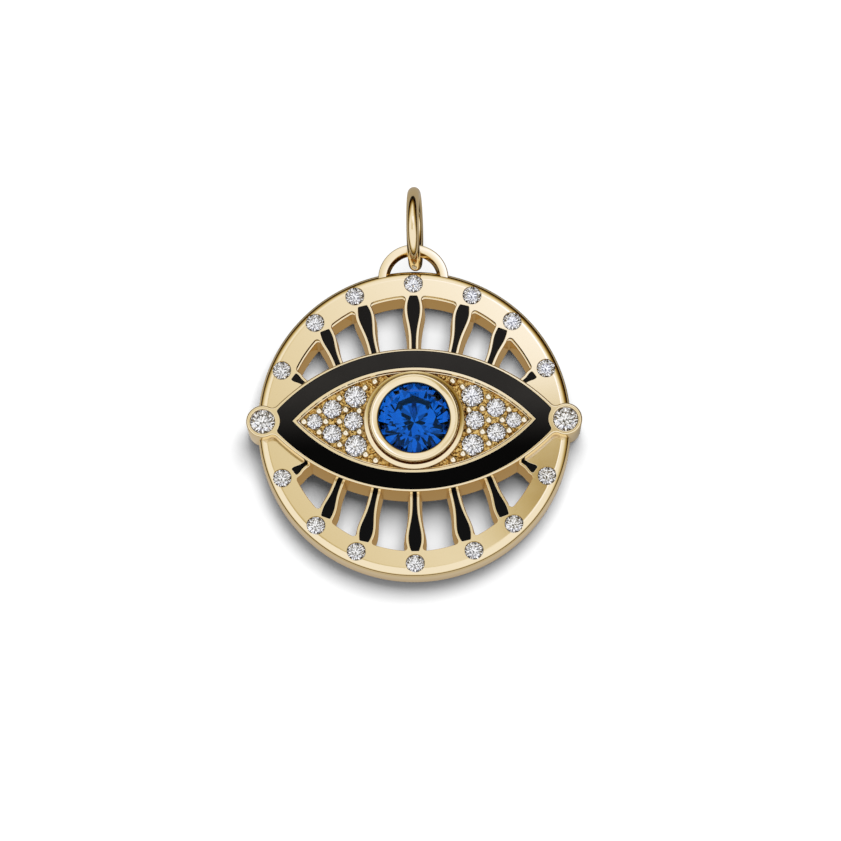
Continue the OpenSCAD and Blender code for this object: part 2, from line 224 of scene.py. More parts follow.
@dataclass(frozen=True)
class Almond:
    """Outline between two equal arcs that meet in two corners."""

    half_length: float
    half_height: float

    @property
    def radius(self) -> float:
        """Radius of the two arcs."""
        return (self.half_length**2 + self.half_height**2) / (2 * self.half_height)

    @property
    def offset(self) -> float:
        """How far the arcs' middles lie from the middle line."""
        return self.radius - self.half_height

    def edge_y(self, x: float) -> float:
        """Height of the upper arc at a distance from the middle."""
        return math.sqrt(self.radius**2 - x * x) - self.offset

    def outline(self, grow: float = 0.0, steps: int = 44) -> list[Point]:
        """Draw the almond, grown on all sides.

        Args:
            grow: How far the outline moves outwards.
            steps: Number of steps along a quarter of it.

        Returns:
            The closed outline.
        """
        radius = self.radius + grow
        end = math.degrees(math.asin(self.offset / radius))
        return four_fold(arc((0, -self.offset), radius, 90, end, steps))


@dataclass(frozen=True)
class Brilliant:
    """Proportions of a round brilliant, with the foot of its girdle at zero.

    The heights of its girdle and pavilion and the radius of its lower ring of facet
    corners are shares of its diameter.
    """

    diameter: float
    girdle: float = 0.03
    pavilion: float = 0.43
    lower: float = 0.11
    mains: int = 8

    @property
    def lower_z(self) -> float:
        """Height of the lower ring of facet corners."""
        bend = math.cos(math.pi / self.mains)
        return -self.pavilion * self.diameter * (1 - 2 * self.lower * bend)

    def seat(
        self, mouth: float, top: float, foot: float, drilled_to: float | None = None
    ) -> list[Point]:
        """Draw the section of the stone's seat, from its mouth down to the axis.

        Args:
            mouth: Radius of the opening over the girdle.
            top: Height of the mouth.
            foot: Height of the foot of the girdle.
            drilled_to: Height of the foot of the hole drilled under the stone, if it has one.

        Returns:
            Radius and height of each point.
        """
        gap = LAYOUT.gap
        ledge = foot + self.girdle * self.diameter + gap
        drill = self.diameter * self.lower + gap
        section = [
            (mouth, top),
            (mouth, ledge),
            (self.diameter / 2 + gap, ledge - gap / 2),
            (self.diameter / 2 + gap, foot - gap),
            (drill, foot + self.lower_z - gap),
        ]
        if drilled_to is None:
            return section + [(0, foot - self.pavilion * self.diameter - 2 * gap)]
        return section + [(drill, drilled_to), (0, drilled_to)]


@dataclass(frozen=True)
class Layout:
    """Sizes that several sub-assemblies share."""

    disc_radius: float = 10.0
    disc_top: float = 2.2
    window_radius: float = 8.31
    eye_top: float = 3.1
    field_floor: float = 2.8
    plate: Almond = Almond(9.67, 4.68)
    band_outside: Almond = Almond(9.35, 4.53)
    band_inside: Almond = Almond(7.76, 3.43)
    side_radius: float = 1.05
    side_stone: Brilliant = Brilliant(1.7)
    gap: float = 0.02
    sapphire_foot: float = 3.11
    side_foot: float = 2.749
    rim_foot: float = 1.974
    pave_foot: float = 2.82


LAYOUT = Layout()


@dataclass(frozen=True)
class Lash:
    """One lash, from the eye plate out to the rim, in the upper right quarter.

    The foot is a share of the plate's half length. The widths at the neck, belly and tip
    are shares of the widest lash's enamel, as are the roundness of the tip's corners and
    how much shorter it stops. The belly's place is a share of the length. The root's depth
    in the plate and the reach into the rim are millimetres.
    """

    foot: float
    angle: float
    neck: float
    belly: float
    tip: float
    widest: float
    tip_round: float = 0.1
    short: float = 0.0
    full_width: float = 0.84
    swell_power: float = 1.7
    root: float = 0.3
    reach: float = 0.05
    tip_reach: float = 1.4
    least_round: float = 0.01

    @property
    def start(self) -> Vector:
        """Where the lash leaves the eye plate."""
        x = self.foot * LAYOUT.plate.half_length
        return Vector((x, LAYOUT.plate.edge_y(x)))

    @property
    def path(self) -> Vector:
        """The way from its start to its tip in the rim.

        Returns:
            The way, as long as the lash.
        """
        turn = math.radians(self.angle)
        away = LAYOUT.window_radius + self.reach - self.short * self.full_width
        return Vector((math.sin(turn), math.cos(turn))) * away - self.start

    @property
    def root_share(self) -> float:
        """Share of the length, below zero, at which its root ends inside the plate."""
        return -self.root / self.path.length

    def width(self, share: float) -> float:
        """Find the width of the enamel.

        Args:
            share: Share of the length.

        Returns:
            The width there.
        """
        if share <= 0:
            part = self.neck
        elif share >= 1:
            part = self.tip
        elif share < self.widest:
            swell = (1 - math.cos(math.pi * (share / self.widest) ** self.swell_power)) / 2
            part = self.neck + (self.belly - self.neck) * swell
        else:
            past = (share - self.widest) / (1 - self.widest)
            part = self.belly - (self.belly - self.tip) * past**2
        return part * self.full_width

    def edge(self, side: Side, share: float, grow: float) -> Vector:
        """Find a point on one side of the lash.

        Args:
            side: Left or right of the lash, seen along its path.
            share: Share of the length.
            grow: Distance out from the enamel's edge.

        Returns:
            The point.
        """
        ahead = self.path.normalized()
        across = Vector((ahead.y, -ahead.x)) * side.value
        return self.start + self.path * share + across * (self.width(share) / 2 + grow)

    def edge_run(self, side: Side, stop: float, grow: float, steps: int) -> list[Vector]:
        """Follow one side of the lash from its root.

        Args:
            side: Left or right of the lash, seen along its path.
            stop: Share of the length at which the run ends.
            grow: Distance out from the enamel's edge.
            steps: Number of steps along the run.

        Returns:
            The points, in order.
        """
        first = self.root_share
        shares = [first + (stop - first) * k / steps for k in range(steps + 1)]
        return [self.edge(side, share, grow) for share in shares]

    def outline(self, grow: float, steps: int = 22) -> list[Point]:
        """Draw the enamel's outline, grown on all sides.

        Args:
            grow: How far the outline moves outwards.
            steps: Number of steps along each side.

        Returns:
            The closed outline.
        """
        radius = max(self.tip_round * self.full_width + grow, self.least_round)
        end = 1 + grow / self.path.length
        stop = end - self.tip_reach * radius / self.path.length
        left = self.edge_run(Side.LEFT, stop, grow, steps)
        right = self.edge_run(Side.RIGHT, stop, grow, steps)
        first, last = self.edge(Side.LEFT, end, grow), self.edge(Side.RIGHT, end, grow)
        tip = rounded(left[-1], first, last, radius) + rounded(first, last, right[-1], radius)
        return [tuple(p) for p in left + tip + right[::-1]]


LASHES = (
    Lash(0, 0, 0.34, 1, 0.56, 0.77),
    Lash(0.258, 23, 0.38, 0.99, 0.68, 0.8),
    Lash(0.495, 43, 0.38, 0.82, 0.72, 0.8),
    Lash(0.716, 67.9, 0.3, 0.62, 0.62, 0.85, short=0.05),
)


class Wiring:
    """Adds nodes to a shader tree, each linked to what feeds it."""

    def __init__(self, tree: bpy.types.NodeTree) -> None:
        """Start on a tree."""
        self.tree = tree

    def feed(self, node: bpy.types.Node, inputs: Mapping[str | int, Feed]) -> None:
        """Give a node its inputs.

        Args:
            node: The node.
            inputs: A value, or the socket that feeds it, for each input's name or number.
        """
        for name, value in inputs.items():
            if isinstance(value, Socket):
                self.tree.links.new(value, node.inputs[name])
            else:
                node.inputs[name].default_value = value

    def add(
        self, kind: str, inputs: Mapping[str | int, Feed] | None = None, **traits: object
    ) -> bpy.types.Node:
        """Add a shader node.

        Args:
            kind: Type of the node, without the word ShaderNode.
            inputs: What each of its inputs gets, as in feed.
            traits: Properties of the node.

        Returns:
            The node.
        """
        node = self.tree.nodes.new("ShaderNode" + kind)
        for name, value in traits.items():
            setattr(node, name, value)
        self.feed(node, inputs or {})
        return node

    def place(self, kind: str = "Object") -> Socket:
        """Give the place on the surface."""
        return self.add("TexCoord").outputs[kind]

    def number(self, operation: str, *values: Feed) -> Socket:
        """Work out a number from one or two others."""
        return self.add("Math", dict(enumerate(values)), operation=operation).outputs[0]

    def vector(self, operation: str, *values: Feed) -> Socket:
        """Work out a vector from one or two others, or a number from LENGTH or DOT_PRODUCT."""
        node = self.add("VectorMath", dict(enumerate(values)), operation=operation)
        return node.outputs["Value" if operation in ("LENGTH", "DOT_PRODUCT") else "Vector"]

    def ramp(self, value: Feed, span: Point, ends: Point = (0.0, 1.0), soft: bool = False) -> Socket:
        """Turn a span of numbers into another, and hold it at both ends.

        Args:
            value: The number.
            span: Where the ramp starts and where it ends.
            ends: What it gives at its start and at its end.
            soft: Whether it starts and ends gently.

        Returns:
            The ramp's number.
        """
        limits = dict(zip(("From Min", "From Max", "To Min", "To Max"), span + ends))
        kind = "SMOOTHSTEP" if soft else "LINEAR"
        return self.add("MapRange", {"Value": value, **limits}, interpolation_type=kind).outputs[0]

    def mix(self, share: Feed, first: Feed, second: Feed) -> Socket:
        """Mix two colours by a share of the second."""
        tones = [tone if isinstance(tone, Socket) else (*tone, 1) for tone in (first, second)]
        return self.add("MixRGB", {0: share, 1: tones[0], 2: tones[1]}).outputs[0]

    def noise(self, place: Socket, scale: Feed, detail: float, roughness: float = 0.5) -> Socket:
        """Give a cloudy noise over a place."""
        inputs = {"Vector": place, "Scale": scale, "Detail": detail, "Roughness": roughness}
        return self.add("TexNoise", inputs).outputs["Fac"]


def new_group(
    name: str, inputs: Mapping[str, tuple[Carries, float | None]], outputs: Mapping[str, Carries]
) -> tuple[Wiring, bpy.types.Node, bpy.types.Node]:
    """Start a shader node group.

    Args:
        name: Name of the group.
        inputs: What each input carries, and its first value if it has one.
        outputs: What each output carries.

    Returns:
        The group's wiring, its input node and its output node.
    """
    group = bpy.data.node_groups.new(name, "ShaderNodeTree")
    for label, (kind, value) in inputs.items():
        socket = group.interface.new_socket(label, in_out="INPUT", socket_type=kind.value)
        if value is not None:
            socket.default_value = value
    for label, kind in outputs.items():
        group.interface.new_socket(label, in_out="OUTPUT", socket_type=kind.value)
    return Wiring(group), group.nodes.new("NodeGroupInput"), group.nodes.new("NodeGroupOutput")


def new_material(name: str) -> tuple[bpy.types.Material, Wiring, bpy.types.Node]:
    """Start a material.

    Args:
        name: Name of the material.

    Returns:
        The material, its wiring and its Principled BSDF node.
    """
    made = bpy.data.materials.new(name)
    made.use_nodes = True
    return made, Wiring(made.node_tree), made.node_tree.nodes["Principled BSDF"]


@dataclass(frozen=True)
class WheelHairlines:
    """Fine lines that a polishing wheel leaves, in two crossing directions."""

    scale: float = 1200.0
    detail: float = 3.0
    turns: Point = (0.35, 1.9)
    stretch: float = 0.035
    cloud_scale: float = 260.0
    cloud_detail: float = 4.0
    cloud_roughness: float = 0.6
    cloud_span: Point = (0.3, 0.7)

    def group(self) -> bpy.types.NodeTree:
        """Build the node group.

        Returns:
            The group: the lines' height, and a mask of wear.
        """
        wiring, given, result = new_group(
            "wheel_hairlines",
            {"Vector": (Carries.VECTOR, None), "Scale": (Carries.NUMBER, self.scale)},
            {"Height": Carries.NUMBER, "Mask": Carries.NUMBER},
        )
        place, scale = given.outputs["Vector"], given.outputs["Scale"]
        lines = []
        for turn in self.turns:
            along = {"Vector": place, "Rotation": (0, 0, turn), "Scale": (1, self.stretch, 1)}
            turned = wiring.add("Mapping", along).outputs[0]
            lines.append(wiring.noise(turned, scale, self.detail))
        cloud = wiring.noise(place, self.cloud_scale, self.cloud_detail, self.cloud_roughness)
        mask = wiring.ramp(cloud, self.cloud_span)
        wiring.feed(result, {"Height": wiring.number("ADD", *lines), "Mask": mask})
        return wiring.tree


@dataclass(frozen=True)
class GraverMarks:
    """Small cuts and grains that a graver leaves between set stones."""

    scale: float = 4000.0
    detail: float = 2.0
    span: Point = (0.35, 0.65)

    def group(self) -> bpy.types.NodeTree:
        """Build the node group.

        Returns:
            The group: the marks' height, and a mask of rough and smooth spots.
        """
        wiring, given, result = new_group(
            "graver_marks",
            {"Vector": (Carries.VECTOR, None), "Scale": (Carries.NUMBER, self.scale)},
            {"Height": Carries.NUMBER, "Mask": Carries.NUMBER},
        )
        place, scale = given.outputs["Vector"], given.outputs["Scale"]
        sway = wiring.noise(place, scale, self.detail)
        cuts = wiring.add("TexVoronoi", {"Vector": place, "Scale": scale}).outputs["Distance"]
        mask = wiring.ramp(sway, self.span)
        wiring.feed(result, {"Height": wiring.number("ADD", sway, cuts), "Mask": mask})
        return wiring.tree


@dataclass(frozen=True)
class RecessShadeAndGrime:
    """Corners and seats, found by ambient occlusion: partly painted shade, partly the dull metal that
    a polishing cloth can't reach.
    """

    reach: float = 0.0004
    span: Point = (0.75, 0.2)
    samples: int = 4

    def group(self) -> bpy.types.NodeTree:
        """Build the node group.

        Returns:
            The group: a mask of the recesses.
        """
        wiring, given, result = new_group(
            "recess_shade_and_grime", {"Distance": (Carries.NUMBER, self.reach)}, {"Mask": Carries.NUMBER}
        )
        shade = wiring.add(
            "AmbientOcclusion", {"Distance": given.outputs["Distance"]}, samples=self.samples
        )
        wiring.feed(result, {"Mask": wiring.ramp(shade.outputs["AO"], self.span)})
        return wiring.tree


@dataclass(frozen=True)
class WarmLight:
    """The studio's light for reflections: white where it is strong, brown where weak.

    Each colour channel, from red to blue, is the light's strength to a power, times a gain.
    """

    gains: Triple = (1.0, 1.05, 1.3)
    powers: Triple = (1.0, 1.33, 2.5)

    def group(self) -> bpy.types.NodeTree:
        """Build the node group.

        Returns:
            The group: the light's colour.
        """
        wiring, given, result = new_group(
            "warm_light", {"Value": (Carries.NUMBER, 1.0)}, {"Color": Carries.COLOUR}
        )
        channels = []
        for gain, power in zip(self.gains, self.powers):
            curve = wiring.number("POWER", given.outputs["Value"], power)
            channels.append(wiring.number("MULTIPLY", curve, gain))
        colour = wiring.add("CombineXYZ", dict(enumerate(channels)))
        wiring.feed(result, {"Color": colour.outputs[0]})
        return wiring.tree


class Effects:
    """Node groups that several finishes, or several lights, share."""

    def __init__(self) -> None:
        """Build each group once."""
        self.hairlines = WheelHairlines().group()
        self.graver = GraverMarks().group()
        self.shade_and_grime = RecessShadeAndGrime().group()
        self.warm_light = WarmLight().group()


@dataclass(frozen=True)
class GoldFinish:
    """Yellow gold, from mirror bright to matt."""

    name: str
    colour: Triple = (0.94, 0.78, 0.47)
    # Colour of painted shade, with some grime, that corners and seats darken towards
    shade_and_grime_colour: Triple = (0.32, 0.17, 0.05)
    roughness: float = 0.1
    mottle: float = 0.04
    line_depth: float = 0.02
    line_height: float = 0.00002
    line_scale: float = 1500.0
    shade_and_grime_share: float = 0.85
    engraved: bool = False

    def material(self, effects: Effects) -> bpy.types.Material:
        """Make the material.

        Args:
            effects: The shared node groups.

        Returns:
            The material.
        """
        made, wiring, shader = new_material(self.name)
        marks = effects.graver if self.engraved else effects.hairlines
        given = {"Vector": wiring.place(), "Scale": self.line_scale}
        lines = wiring.add("Group", given, node_tree=marks)
        # Painted shade, with some grime: the gold darkens towards its deep colour where ambient
        # occlusion finds corners and seats
        shade_and_grime = wiring.add("Group", node_tree=effects.shade_and_grime)
        depth = wiring.number("MULTIPLY", shade_and_grime.outputs["Mask"], self.shade_and_grime_share)
        spread = (self.roughness - self.mottle / 2, self.roughness + self.mottle / 2)
        relief = {
            "Strength": self.line_depth,
            "Distance": self.line_height,
            "Height": lines.outputs["Height"],
        }
        wiring.feed(shader, {
            "Base Color": wiring.mix(depth, self.colour, self.shade_and_grime_colour),
            "Roughness": wiring.ramp(lines.outputs["Mask"], (0.0, 1.0), spread),
            "Normal": wiring.add("Bump", relief).outputs[0],
            "Metallic": 1.0,
        })
        return made


@dataclass(frozen=True)
class EnamelFinish:
    """Black fired enamel with a painted grey sheen, stronger towards its upper end, that stands in for
    the light the enamel mirrors there.
    """

    name: str
    colour: Triple = (0.0012, 0.0011, 0.001)
    painted_sheen: Triple = (0.024, 0.022, 0.02)
    painted_sheen_span: Point = (-0.002, 0.002)
    painted_sheen_least: float = 0.75
    roughness: float = 0.16
    mottle: float = 0.15
    specular: float = 0.02
    ripple: float = 0.06
    ripple_height: float = 0.00003
    ripple_scale: float = 900.0
    ripple_detail: float = 1.0

    def material(self, effects: Effects) -> bpy.types.Material:
        """Make the material.

        Args:
            effects: The shared node groups.

        Returns:
            The material.
        """
        made, wiring, shader = new_material(self.name)
        place = wiring.place()
        lines = wiring.add("Group", {"Vector": place}, node_tree=effects.hairlines)
        wear = lines.outputs["Mask"]
        # Painted sheen: grey mixed into the black, rising towards +Y and mottled by the wear mask,
        # stands in for light on the enamel's upper end
        along = wiring.add("SeparateXYZ", {0: place}).outputs["Y"]
        cloud = wiring.ramp(wear, (0.0, 1.0), (self.painted_sheen_least, 1.0))
        share = wiring.number("MULTIPLY", wiring.ramp(along, self.painted_sheen_span, soft=True), cloud)
        spread = (self.roughness * (1 - self.mottle), self.roughness * (1 + self.mottle))
        relief = {
            "Strength": self.ripple,
            "Distance": self.ripple_height,
            "Height": wiring.noise(place, self.ripple_scale, self.ripple_detail),
        }
        wiring.feed(shader, {
            "Base Color": wiring.mix(share, self.colour, self.painted_sheen),
            "Roughness": wiring.ramp(wear, (0.0, 1.0), spread),
            "Normal": wiring.add("Bump", relief).outputs[0],
            "Specular IOR Level": self.specular,
        })
        return made


@dataclass(frozen=True)
class GemFinish:
    """Clear cut stone with faint zones of colour."""

    name: str
    colour: Triple
    zone: Triple
    index: float
    gloss: Triple = (1.0, 1.0, 1.0)
    zone_scale: float = 600.0
    zone_detail: float = 1.0

    def material(self) -> bpy.types.Material:
        """Make the material.

        Returns:
            The material.
        """
        made, wiring, shader = new_material(self.name)
        zones = wiring.noise(wiring.place(), self.zone_scale, self.zone_detail)
        wiring.feed(shader, {
            "Base Color": wiring.mix(zones, self.colour, self.zone),
            "Roughness": 0.0,
            "IOR": self.index,
            "Specular Tint": (*self.gloss, 1),
            "Transmission Weight": 1.0,
        })
        return made


class Finishes:
    """Every finish of the pendant, as Blender materials."""

    def __init__(self, effects: Effects) -> None:
        """Make the materials.

        Args:
            effects: The shared node groups.
        """
        self.gold = GoldFinish("polished_gold").material(effects)
        # Painted shade: the sunken field's gold is a darker, more orange copy of the polished gold,
        # standing in for the shade between the stones
        self.shaded_field_gold = GoldFinish(
            "shaded_field_gold",
            colour=(0.88, 0.6, 0.19),
            shade_and_grime_colour=(0.2, 0.08, 0.015),
            roughness=0.12,
            mottle=0.1,
            line_depth=1.0,
            line_height=0.00014,
            line_scale=4500.0,
            shade_and_grime_share=1.0,
            engraved=True,
        ).material(effects)
        # Painted highlight: the beads' gold is a paler copy of the polished gold, so they read
        # brighter
        self.lit_bead_gold = GoldFinish(
            "lit_bead_gold", colour=(0.98, 0.88, 0.64), roughness=0.06, shade_and_grime_share=0.9
        ).material(effects)
        self.wire_gold = GoldFinish("wire_gold", roughness=0.12, line_depth=0.05).material(effects)
        self.enamel = EnamelFinish("black_enamel").material(effects)
        self.lash_enamel = EnamelFinish(
            "black_lash_enamel",
            colour=(0.004, 0.004, 0.004),
            # The lashes' painted sheen: grey mixed into the black, rising from the pendant's foot
            # towards its top
            painted_sheen=(0.01, 0.009, 0.008),
            painted_sheen_span=(-0.005, 0.005),
        ).material(effects)
        self.sapphire = GemFinish(
            "blue_sapphire",
            colour=(0.0005, 0.015, 0.2),
            zone=(0.008, 0.16, 0.76),
            index=1.77,
            gloss=(0.08, 0.25, 0.55),
        ).material()
        self.diamond = GemFinish(
            "white_diamond", colour=(0.97, 0.97, 0.98), zone=(0.99, 0.99, 1.0), index=2.42
        ).material()


def even_out(mesh: bpy.types.Mesh) -> None:
    """Give the corners round each level face its own normal, so that it shines evenly.

    Args:
        mesh: A smooth mesh whose sharp edges are marked.
    """
    normals = [corner.vector.copy() for corner in mesh.corner_normals]
    level = {
        (vert, face.normal.z > 0)
        for face in mesh.polygons
        if abs(face.normal.z) > LEVEL_FACE
        for vert in face.vertices
    }
    for face in mesh.polygons:
        for corner, vert in zip(face.loop_indices, face.vertices):
            up = normals[corner].z > 0
            if (vert, up) in level and abs(normals[corner].z) > NEARLY_LEVEL:
                normals[corner] = Vector((0, 0, 1 if up else -1))
    mesh.normals_split_custom_set(normals)


class Casting:
    """A mesh in the making, in millimetres."""

    def __init__(self) -> None:
        """Start an empty mesh."""
        self.mesh = bmesh.new()

    def outline(self, points: Iterable[Point], height: float) -> Edges:
        """Draw a closed outline at a height and return its edges."""
        verts = [self.mesh.verts.new((x, y, height)) for x, y in points]
        return [self.mesh.edges.new(pair) for pair in zip(verts, verts[1:] + verts[:1])]

    def wall(self, rows: Sequence[Row]) -> tuple[Edges, Edges]:
        """Raise a wall through outlines that have the same number of points.

        Args:
            rows: Outline and height of each row.

        Returns:
            The edges of the first row and of the last.
        """
        rings = [self.outline(points, height) for points, height in rows]
        for low, high in zip(rings, rings[1:]):
            bmesh.ops.bridge_loops(self.mesh, edges=low + high)
        return rings[0], rings[-1]

    def fill(self, *loops: Edges, finish: int = 0) -> None:
        """Fill the flat face between loops.

        Args:
            loops: The outer loop and the loops of its holes.
            finish: Number of the material that the face gets.
        """
        edges = [edge for loop in loops for edge in loop]
        made = bmesh.ops.triangle_fill(self.mesh, use_beauty=True, use_dissolve=False, edges=edges)
        for part in made["geom"]:
            if isinstance(part, bmesh.types.BMFace):
                part.material_index = finish

    def turned(
        self,
        profile: Sequence[Point],
        steps: int,
        centre: Point = (0, 0),
        closed: bool = False,
    ) -> None:
        """Turn a section round an upright axis, as on a lathe.

        Args:
            profile: Radius and height of each point of the section.
            steps: Number of steps round the axis.
            centre: Place of the axis.
            closed: Whether the section's last point joins its first.
        """
        verts = [self.mesh.verts.new((centre[0] + r, centre[1], z)) for r, z in profile]
        pairs = list(zip(verts, verts[1:]))
        if closed:
            pairs.append((verts[-1], verts[0]))
        edges = [self.mesh.edges.new(pair) for pair in pairs]
        bmesh.ops.spin(
            self.mesh,
            geom=verts + edges,
            cent=(*centre, 0),
            axis=(0, 0, 1),
            angle=math.tau,
            steps=steps,
            use_merge=True,
            use_duplicate=False,
        )

    def tidied(self) -> None:
        """Merge what lies in one place and turn all faces outwards."""
        bmesh.ops.remove_doubles(self.mesh, verts=self.mesh.verts, dist=MERGE)
        bmesh.ops.recalc_face_normals(self.mesh, faces=self.mesh.faces)

    def draft(self, name: str) -> bpy.types.Object:
        """Make an object of the mesh as it is.

        Args:
            name: Name of the object and of its mesh.

        Returns:
            The object, in millimetres.
        """
        self.tidied()
        mesh = bpy.data.meshes.new(name)
        self.mesh.to_mesh(mesh)
        made = bpy.data.objects.new(name, mesh)
        bpy.context.scene.collection.objects.link(made)
        return made

    def cut(self, tool: "Casting") -> None:
        """Take another casting's solids out of this one.

        Args:
            tool: The other casting, which is used up.
        """
        work, cutter = self.draft("work"), tool.draft("cutter")
        change = work.modifiers.new("cut", "BOOLEAN")
        change.operation = "DIFFERENCE"
        change.solver = "EXACT"
        change.object = cutter
        depsgraph = bpy.context.evaluated_depsgraph_get()
        result = bpy.data.meshes.new_from_object(work.evaluated_get(depsgraph))
        self.mesh.clear()
        self.mesh.from_mesh(result)
        tool.mesh.free()
        for mesh in (work.data, cutter.data, result):
            bpy.data.meshes.remove(mesh)

    def piece(
        self,
        name: str,
        finishes: Sequence[bpy.types.Material],
        slot: Slot,
        stands_for: Sequence[str],
        flat_faces: bool = True,
    ) -> bpy.types.Object:
        """Finish the mesh as a piece of the pendant.

        Args:
            name: Name of the piece.
            finishes: Its materials.
            slot: The record's slot that they stand for; not used.
            stands_for: CAD nodes that the piece replaces.
            flat_faces: Whether its large flat faces keep an even shine to their edges.

        Returns:
            The piece, in metres.
        """
        made = self.draft(name)
        self.mesh.free()
        made.data.transform(Matrix.Scale(MM, 4))
        made.data.shade_smooth()
        made.data.set_sharp_from_angle(angle=SMOOTH_ANGLE)
        if flat_faces:
            even_out(made.data)
        for finish in finishes:
            made.data.materials.append(finish)
        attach(made, BODY)
        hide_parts(*stands_for)
        log.info("%s: %d faces", name, len(made.data.polygons))
        return made


@dataclass(frozen=True)
class PiercedDisc:
    """The rim with its seats, and the lash bars with their pockets.

    The rim's edge rounds onto the face over a wider strip than onto the back, by its
    spread. Each row of a window's lip gives how far the lashes' metal stands into the
    window, how far the rim's does, and how far the row lies under the face.
    """

    edge_radius: float = 0.4
    edge_spread: float = 1.5
    edge_steps: int = 9
    rim_steps: int = 180
    border: float = 0.19
    window_corner: float = 0.2
    window_lip: tuple[Triple, ...] = (
        (0, 0.13, 0.16),
        (0, 0.12, 0.12),
        (0, 0.09, 0.09),
        (0, 0.04, 0.075),
        (0, 0, 0.07),
        (-0.01, -0.035, 0.035),
        (-0.034, -0.06, 0.01),
        (-0.07, -0.07, 0),
    )
    plain_lip: tuple[Triple, ...] = (
        (0, -0.04, 0.07),
        (-0.01, -0.05, 0.035),
        (-0.034, -0.06, 0.01),
        (-0.07, -0.07, 0),
    )
    draft: float = 0.12
    back_edge: float = 0.05
    side_steps: int = 20
    arc_steps: int = 12
    corner_reach: float = 0.4
    meet_span: Point = (0.4, 1.6)
    meet_halvings: int = 20
    pocket_floor: float = 1.84
    pocket_edge: float = 0.03
    well_inset: float = 0.42
    well_floor: float = 0.2
    stone: Brilliant = Brilliant(1.2)
    stone_circle: float = 9.16
    stone_angles: tuple[float, ...] = (0, 24.2, 43.6, 67.4)
    seat_bevel: float = 0.035
    stone_lap: float = 0.025
    drilled_to: float = 0.3
    tool_rise: float = 1.0

    def rim_share(self, lash: Lash, side: Side, grow: float, ring: float) -> float:
        """Find where a lash's grown edge meets a circle round the middle.

        Args:
            lash: The lash.
            side: Its left or right edge.
            grow: Distance out from the enamel's edge.
            ring: Radius of the circle.

        Returns:
            The share of the lash's length.
        """
        low, high = self.meet_span
        for _ in range(self.meet_halvings):
            middle = (low + high) / 2
            if lash.edge(side, middle, grow).length > ring:
                high = middle
            else:
                low = middle
        return low

    def window(self, first: Lash, second: Lash, ease: float, rim_ease: float) -> list[Point]:
        """Draw the window between two lashes, in the upper right quarter.

        Args:
            first: The lash nearer to the middle.
            second: The next lash.
            ease: How far the lashes' metal stands into the window.
            rim_ease: How far the rim's does.

        Returns:
            The window's closed outline.
        """
        grow = self.border + ease
        ring = LAYOUT.window_radius - rim_ease
        runs, tips = [], []
        for lash, edge in ((first, Side.RIGHT), (second, Side.LEFT)):
            meet = self.rim_share(lash, edge, grow, ring)
            stop = meet - self.corner_reach / lash.path.length
            runs.append(lash.edge_run(edge, stop, grow, self.side_steps))
            tips.append(lash.edge(edge, meet, grow))
        skip = self.corner_reach / LAYOUT.window_radius
        start = math.atan2(tips[0].x, tips[0].y) + skip
        end = math.atan2(tips[1].x, tips[1].y) - skip
        turns = [start + (end - start) * k / self.arc_steps for k in range(self.arc_steps + 1)]
        outer = [Vector((math.sin(t), math.cos(t))) * ring for t in turns]
        radius = self.window_corner - ease
        corners = [tip.normalized() * ring for tip in tips]
        points = runs[0] + rounded(runs[0][-1], corners[0], outer[0], radius) + outer
        points += rounded(outer[-1], corners[1], runs[1][-1], radius) + runs[1][::-1]
        return [tuple(p) for p in points]

    def window_rows(self, first: Lash, second: Lash, row: LashRow, side: Side) -> list[Row]:
        """List the rows of a window's wall, from the back up to the face.

        Args:
            first: The lash nearer to the middle.
            second: The next lash.
            row: Row of lashes.
            side: Half of the pendant.

        Returns:
            Outline and height of each row.
        """
        lip = self.window_lip if row is LashRow.TOP else self.plain_lip
        stand = self.draft + lip[0][1]
        levels = [
            (self.draft - self.back_edge, stand - self.back_edge, 0),
            (self.draft, stand, self.back_edge),
        ]
        levels += [(ease, rim_ease, LAYOUT.disc_top - drop) for ease, rim_ease, drop in lip]
        return [
            (flipped(self.window(first, second, ease, rim_ease), row, side), z)
            for ease, rim_ease, z in levels
        ]

    def pocket_rows(self, lash: Lash, row: LashRow, side: Side) -> list[Row]:
        """List the rows of an enamel pocket's wall, from its floor up to the face.

        Args:
            lash: The pocket's lash.
            row: Row of lashes.
            side: Half of the pendant.

        Returns:
            Outline and height of each row.
        """
        levels = [(0.0, self.pocket_floor)]
        levels += [
            (inset, LAYOUT.disc_top - drop)
            for inset, drop in edge_round(self.pocket_edge, POCKET_STEPS)
        ]
        return [(flipped(lash.outline(grow), row, side), z) for grow, z in levels]

    def stone_places(self) -> list[Point]:
        """Find the middle of each rim stone.

        Returns:
            The places, half of them about the top and half about the foot.
        """
        turns = [
            math.radians(half * 180 + sign * angle)
            for half in (0, 1)
            for sign in (-1, 1)
            for angle in self.stone_angles
            if angle or sign > 0
        ]
        return [(self.stone_circle * math.sin(t), self.stone_circle * math.cos(t)) for t in turns]

    def seats(self) -> Casting:
        """Make the solids that are cut out for the stones.

        Returns:
            The cutting tool.
        """
        tool = Casting()
        top = LAYOUT.disc_top
        above = top + self.tool_rise
        mouth = self.stone.diameter / 2 - self.stone_lap
        wide = mouth + 2 * self.seat_bevel
        section = [(0, above), (wide, above), (wide, top + self.seat_bevel)]
        section += self.stone.seat(mouth, top - self.seat_bevel, LAYOUT.rim_foot, self.drilled_to)
        for place in self.stone_places():
            tool.turned(section, SEAT_STEPS, place)
        clear = LAYOUT.side_stone.diameter / 2 + 2 * LAYOUT.gap
        room = [(0, above)] + LAYOUT.side_stone.seat(clear, above, LAYOUT.side_foot)
        for side in Side:
            tool.turned(room, SEAT_STEPS, (side.value * LAYOUT.plate.half_length, 0))
        return tool

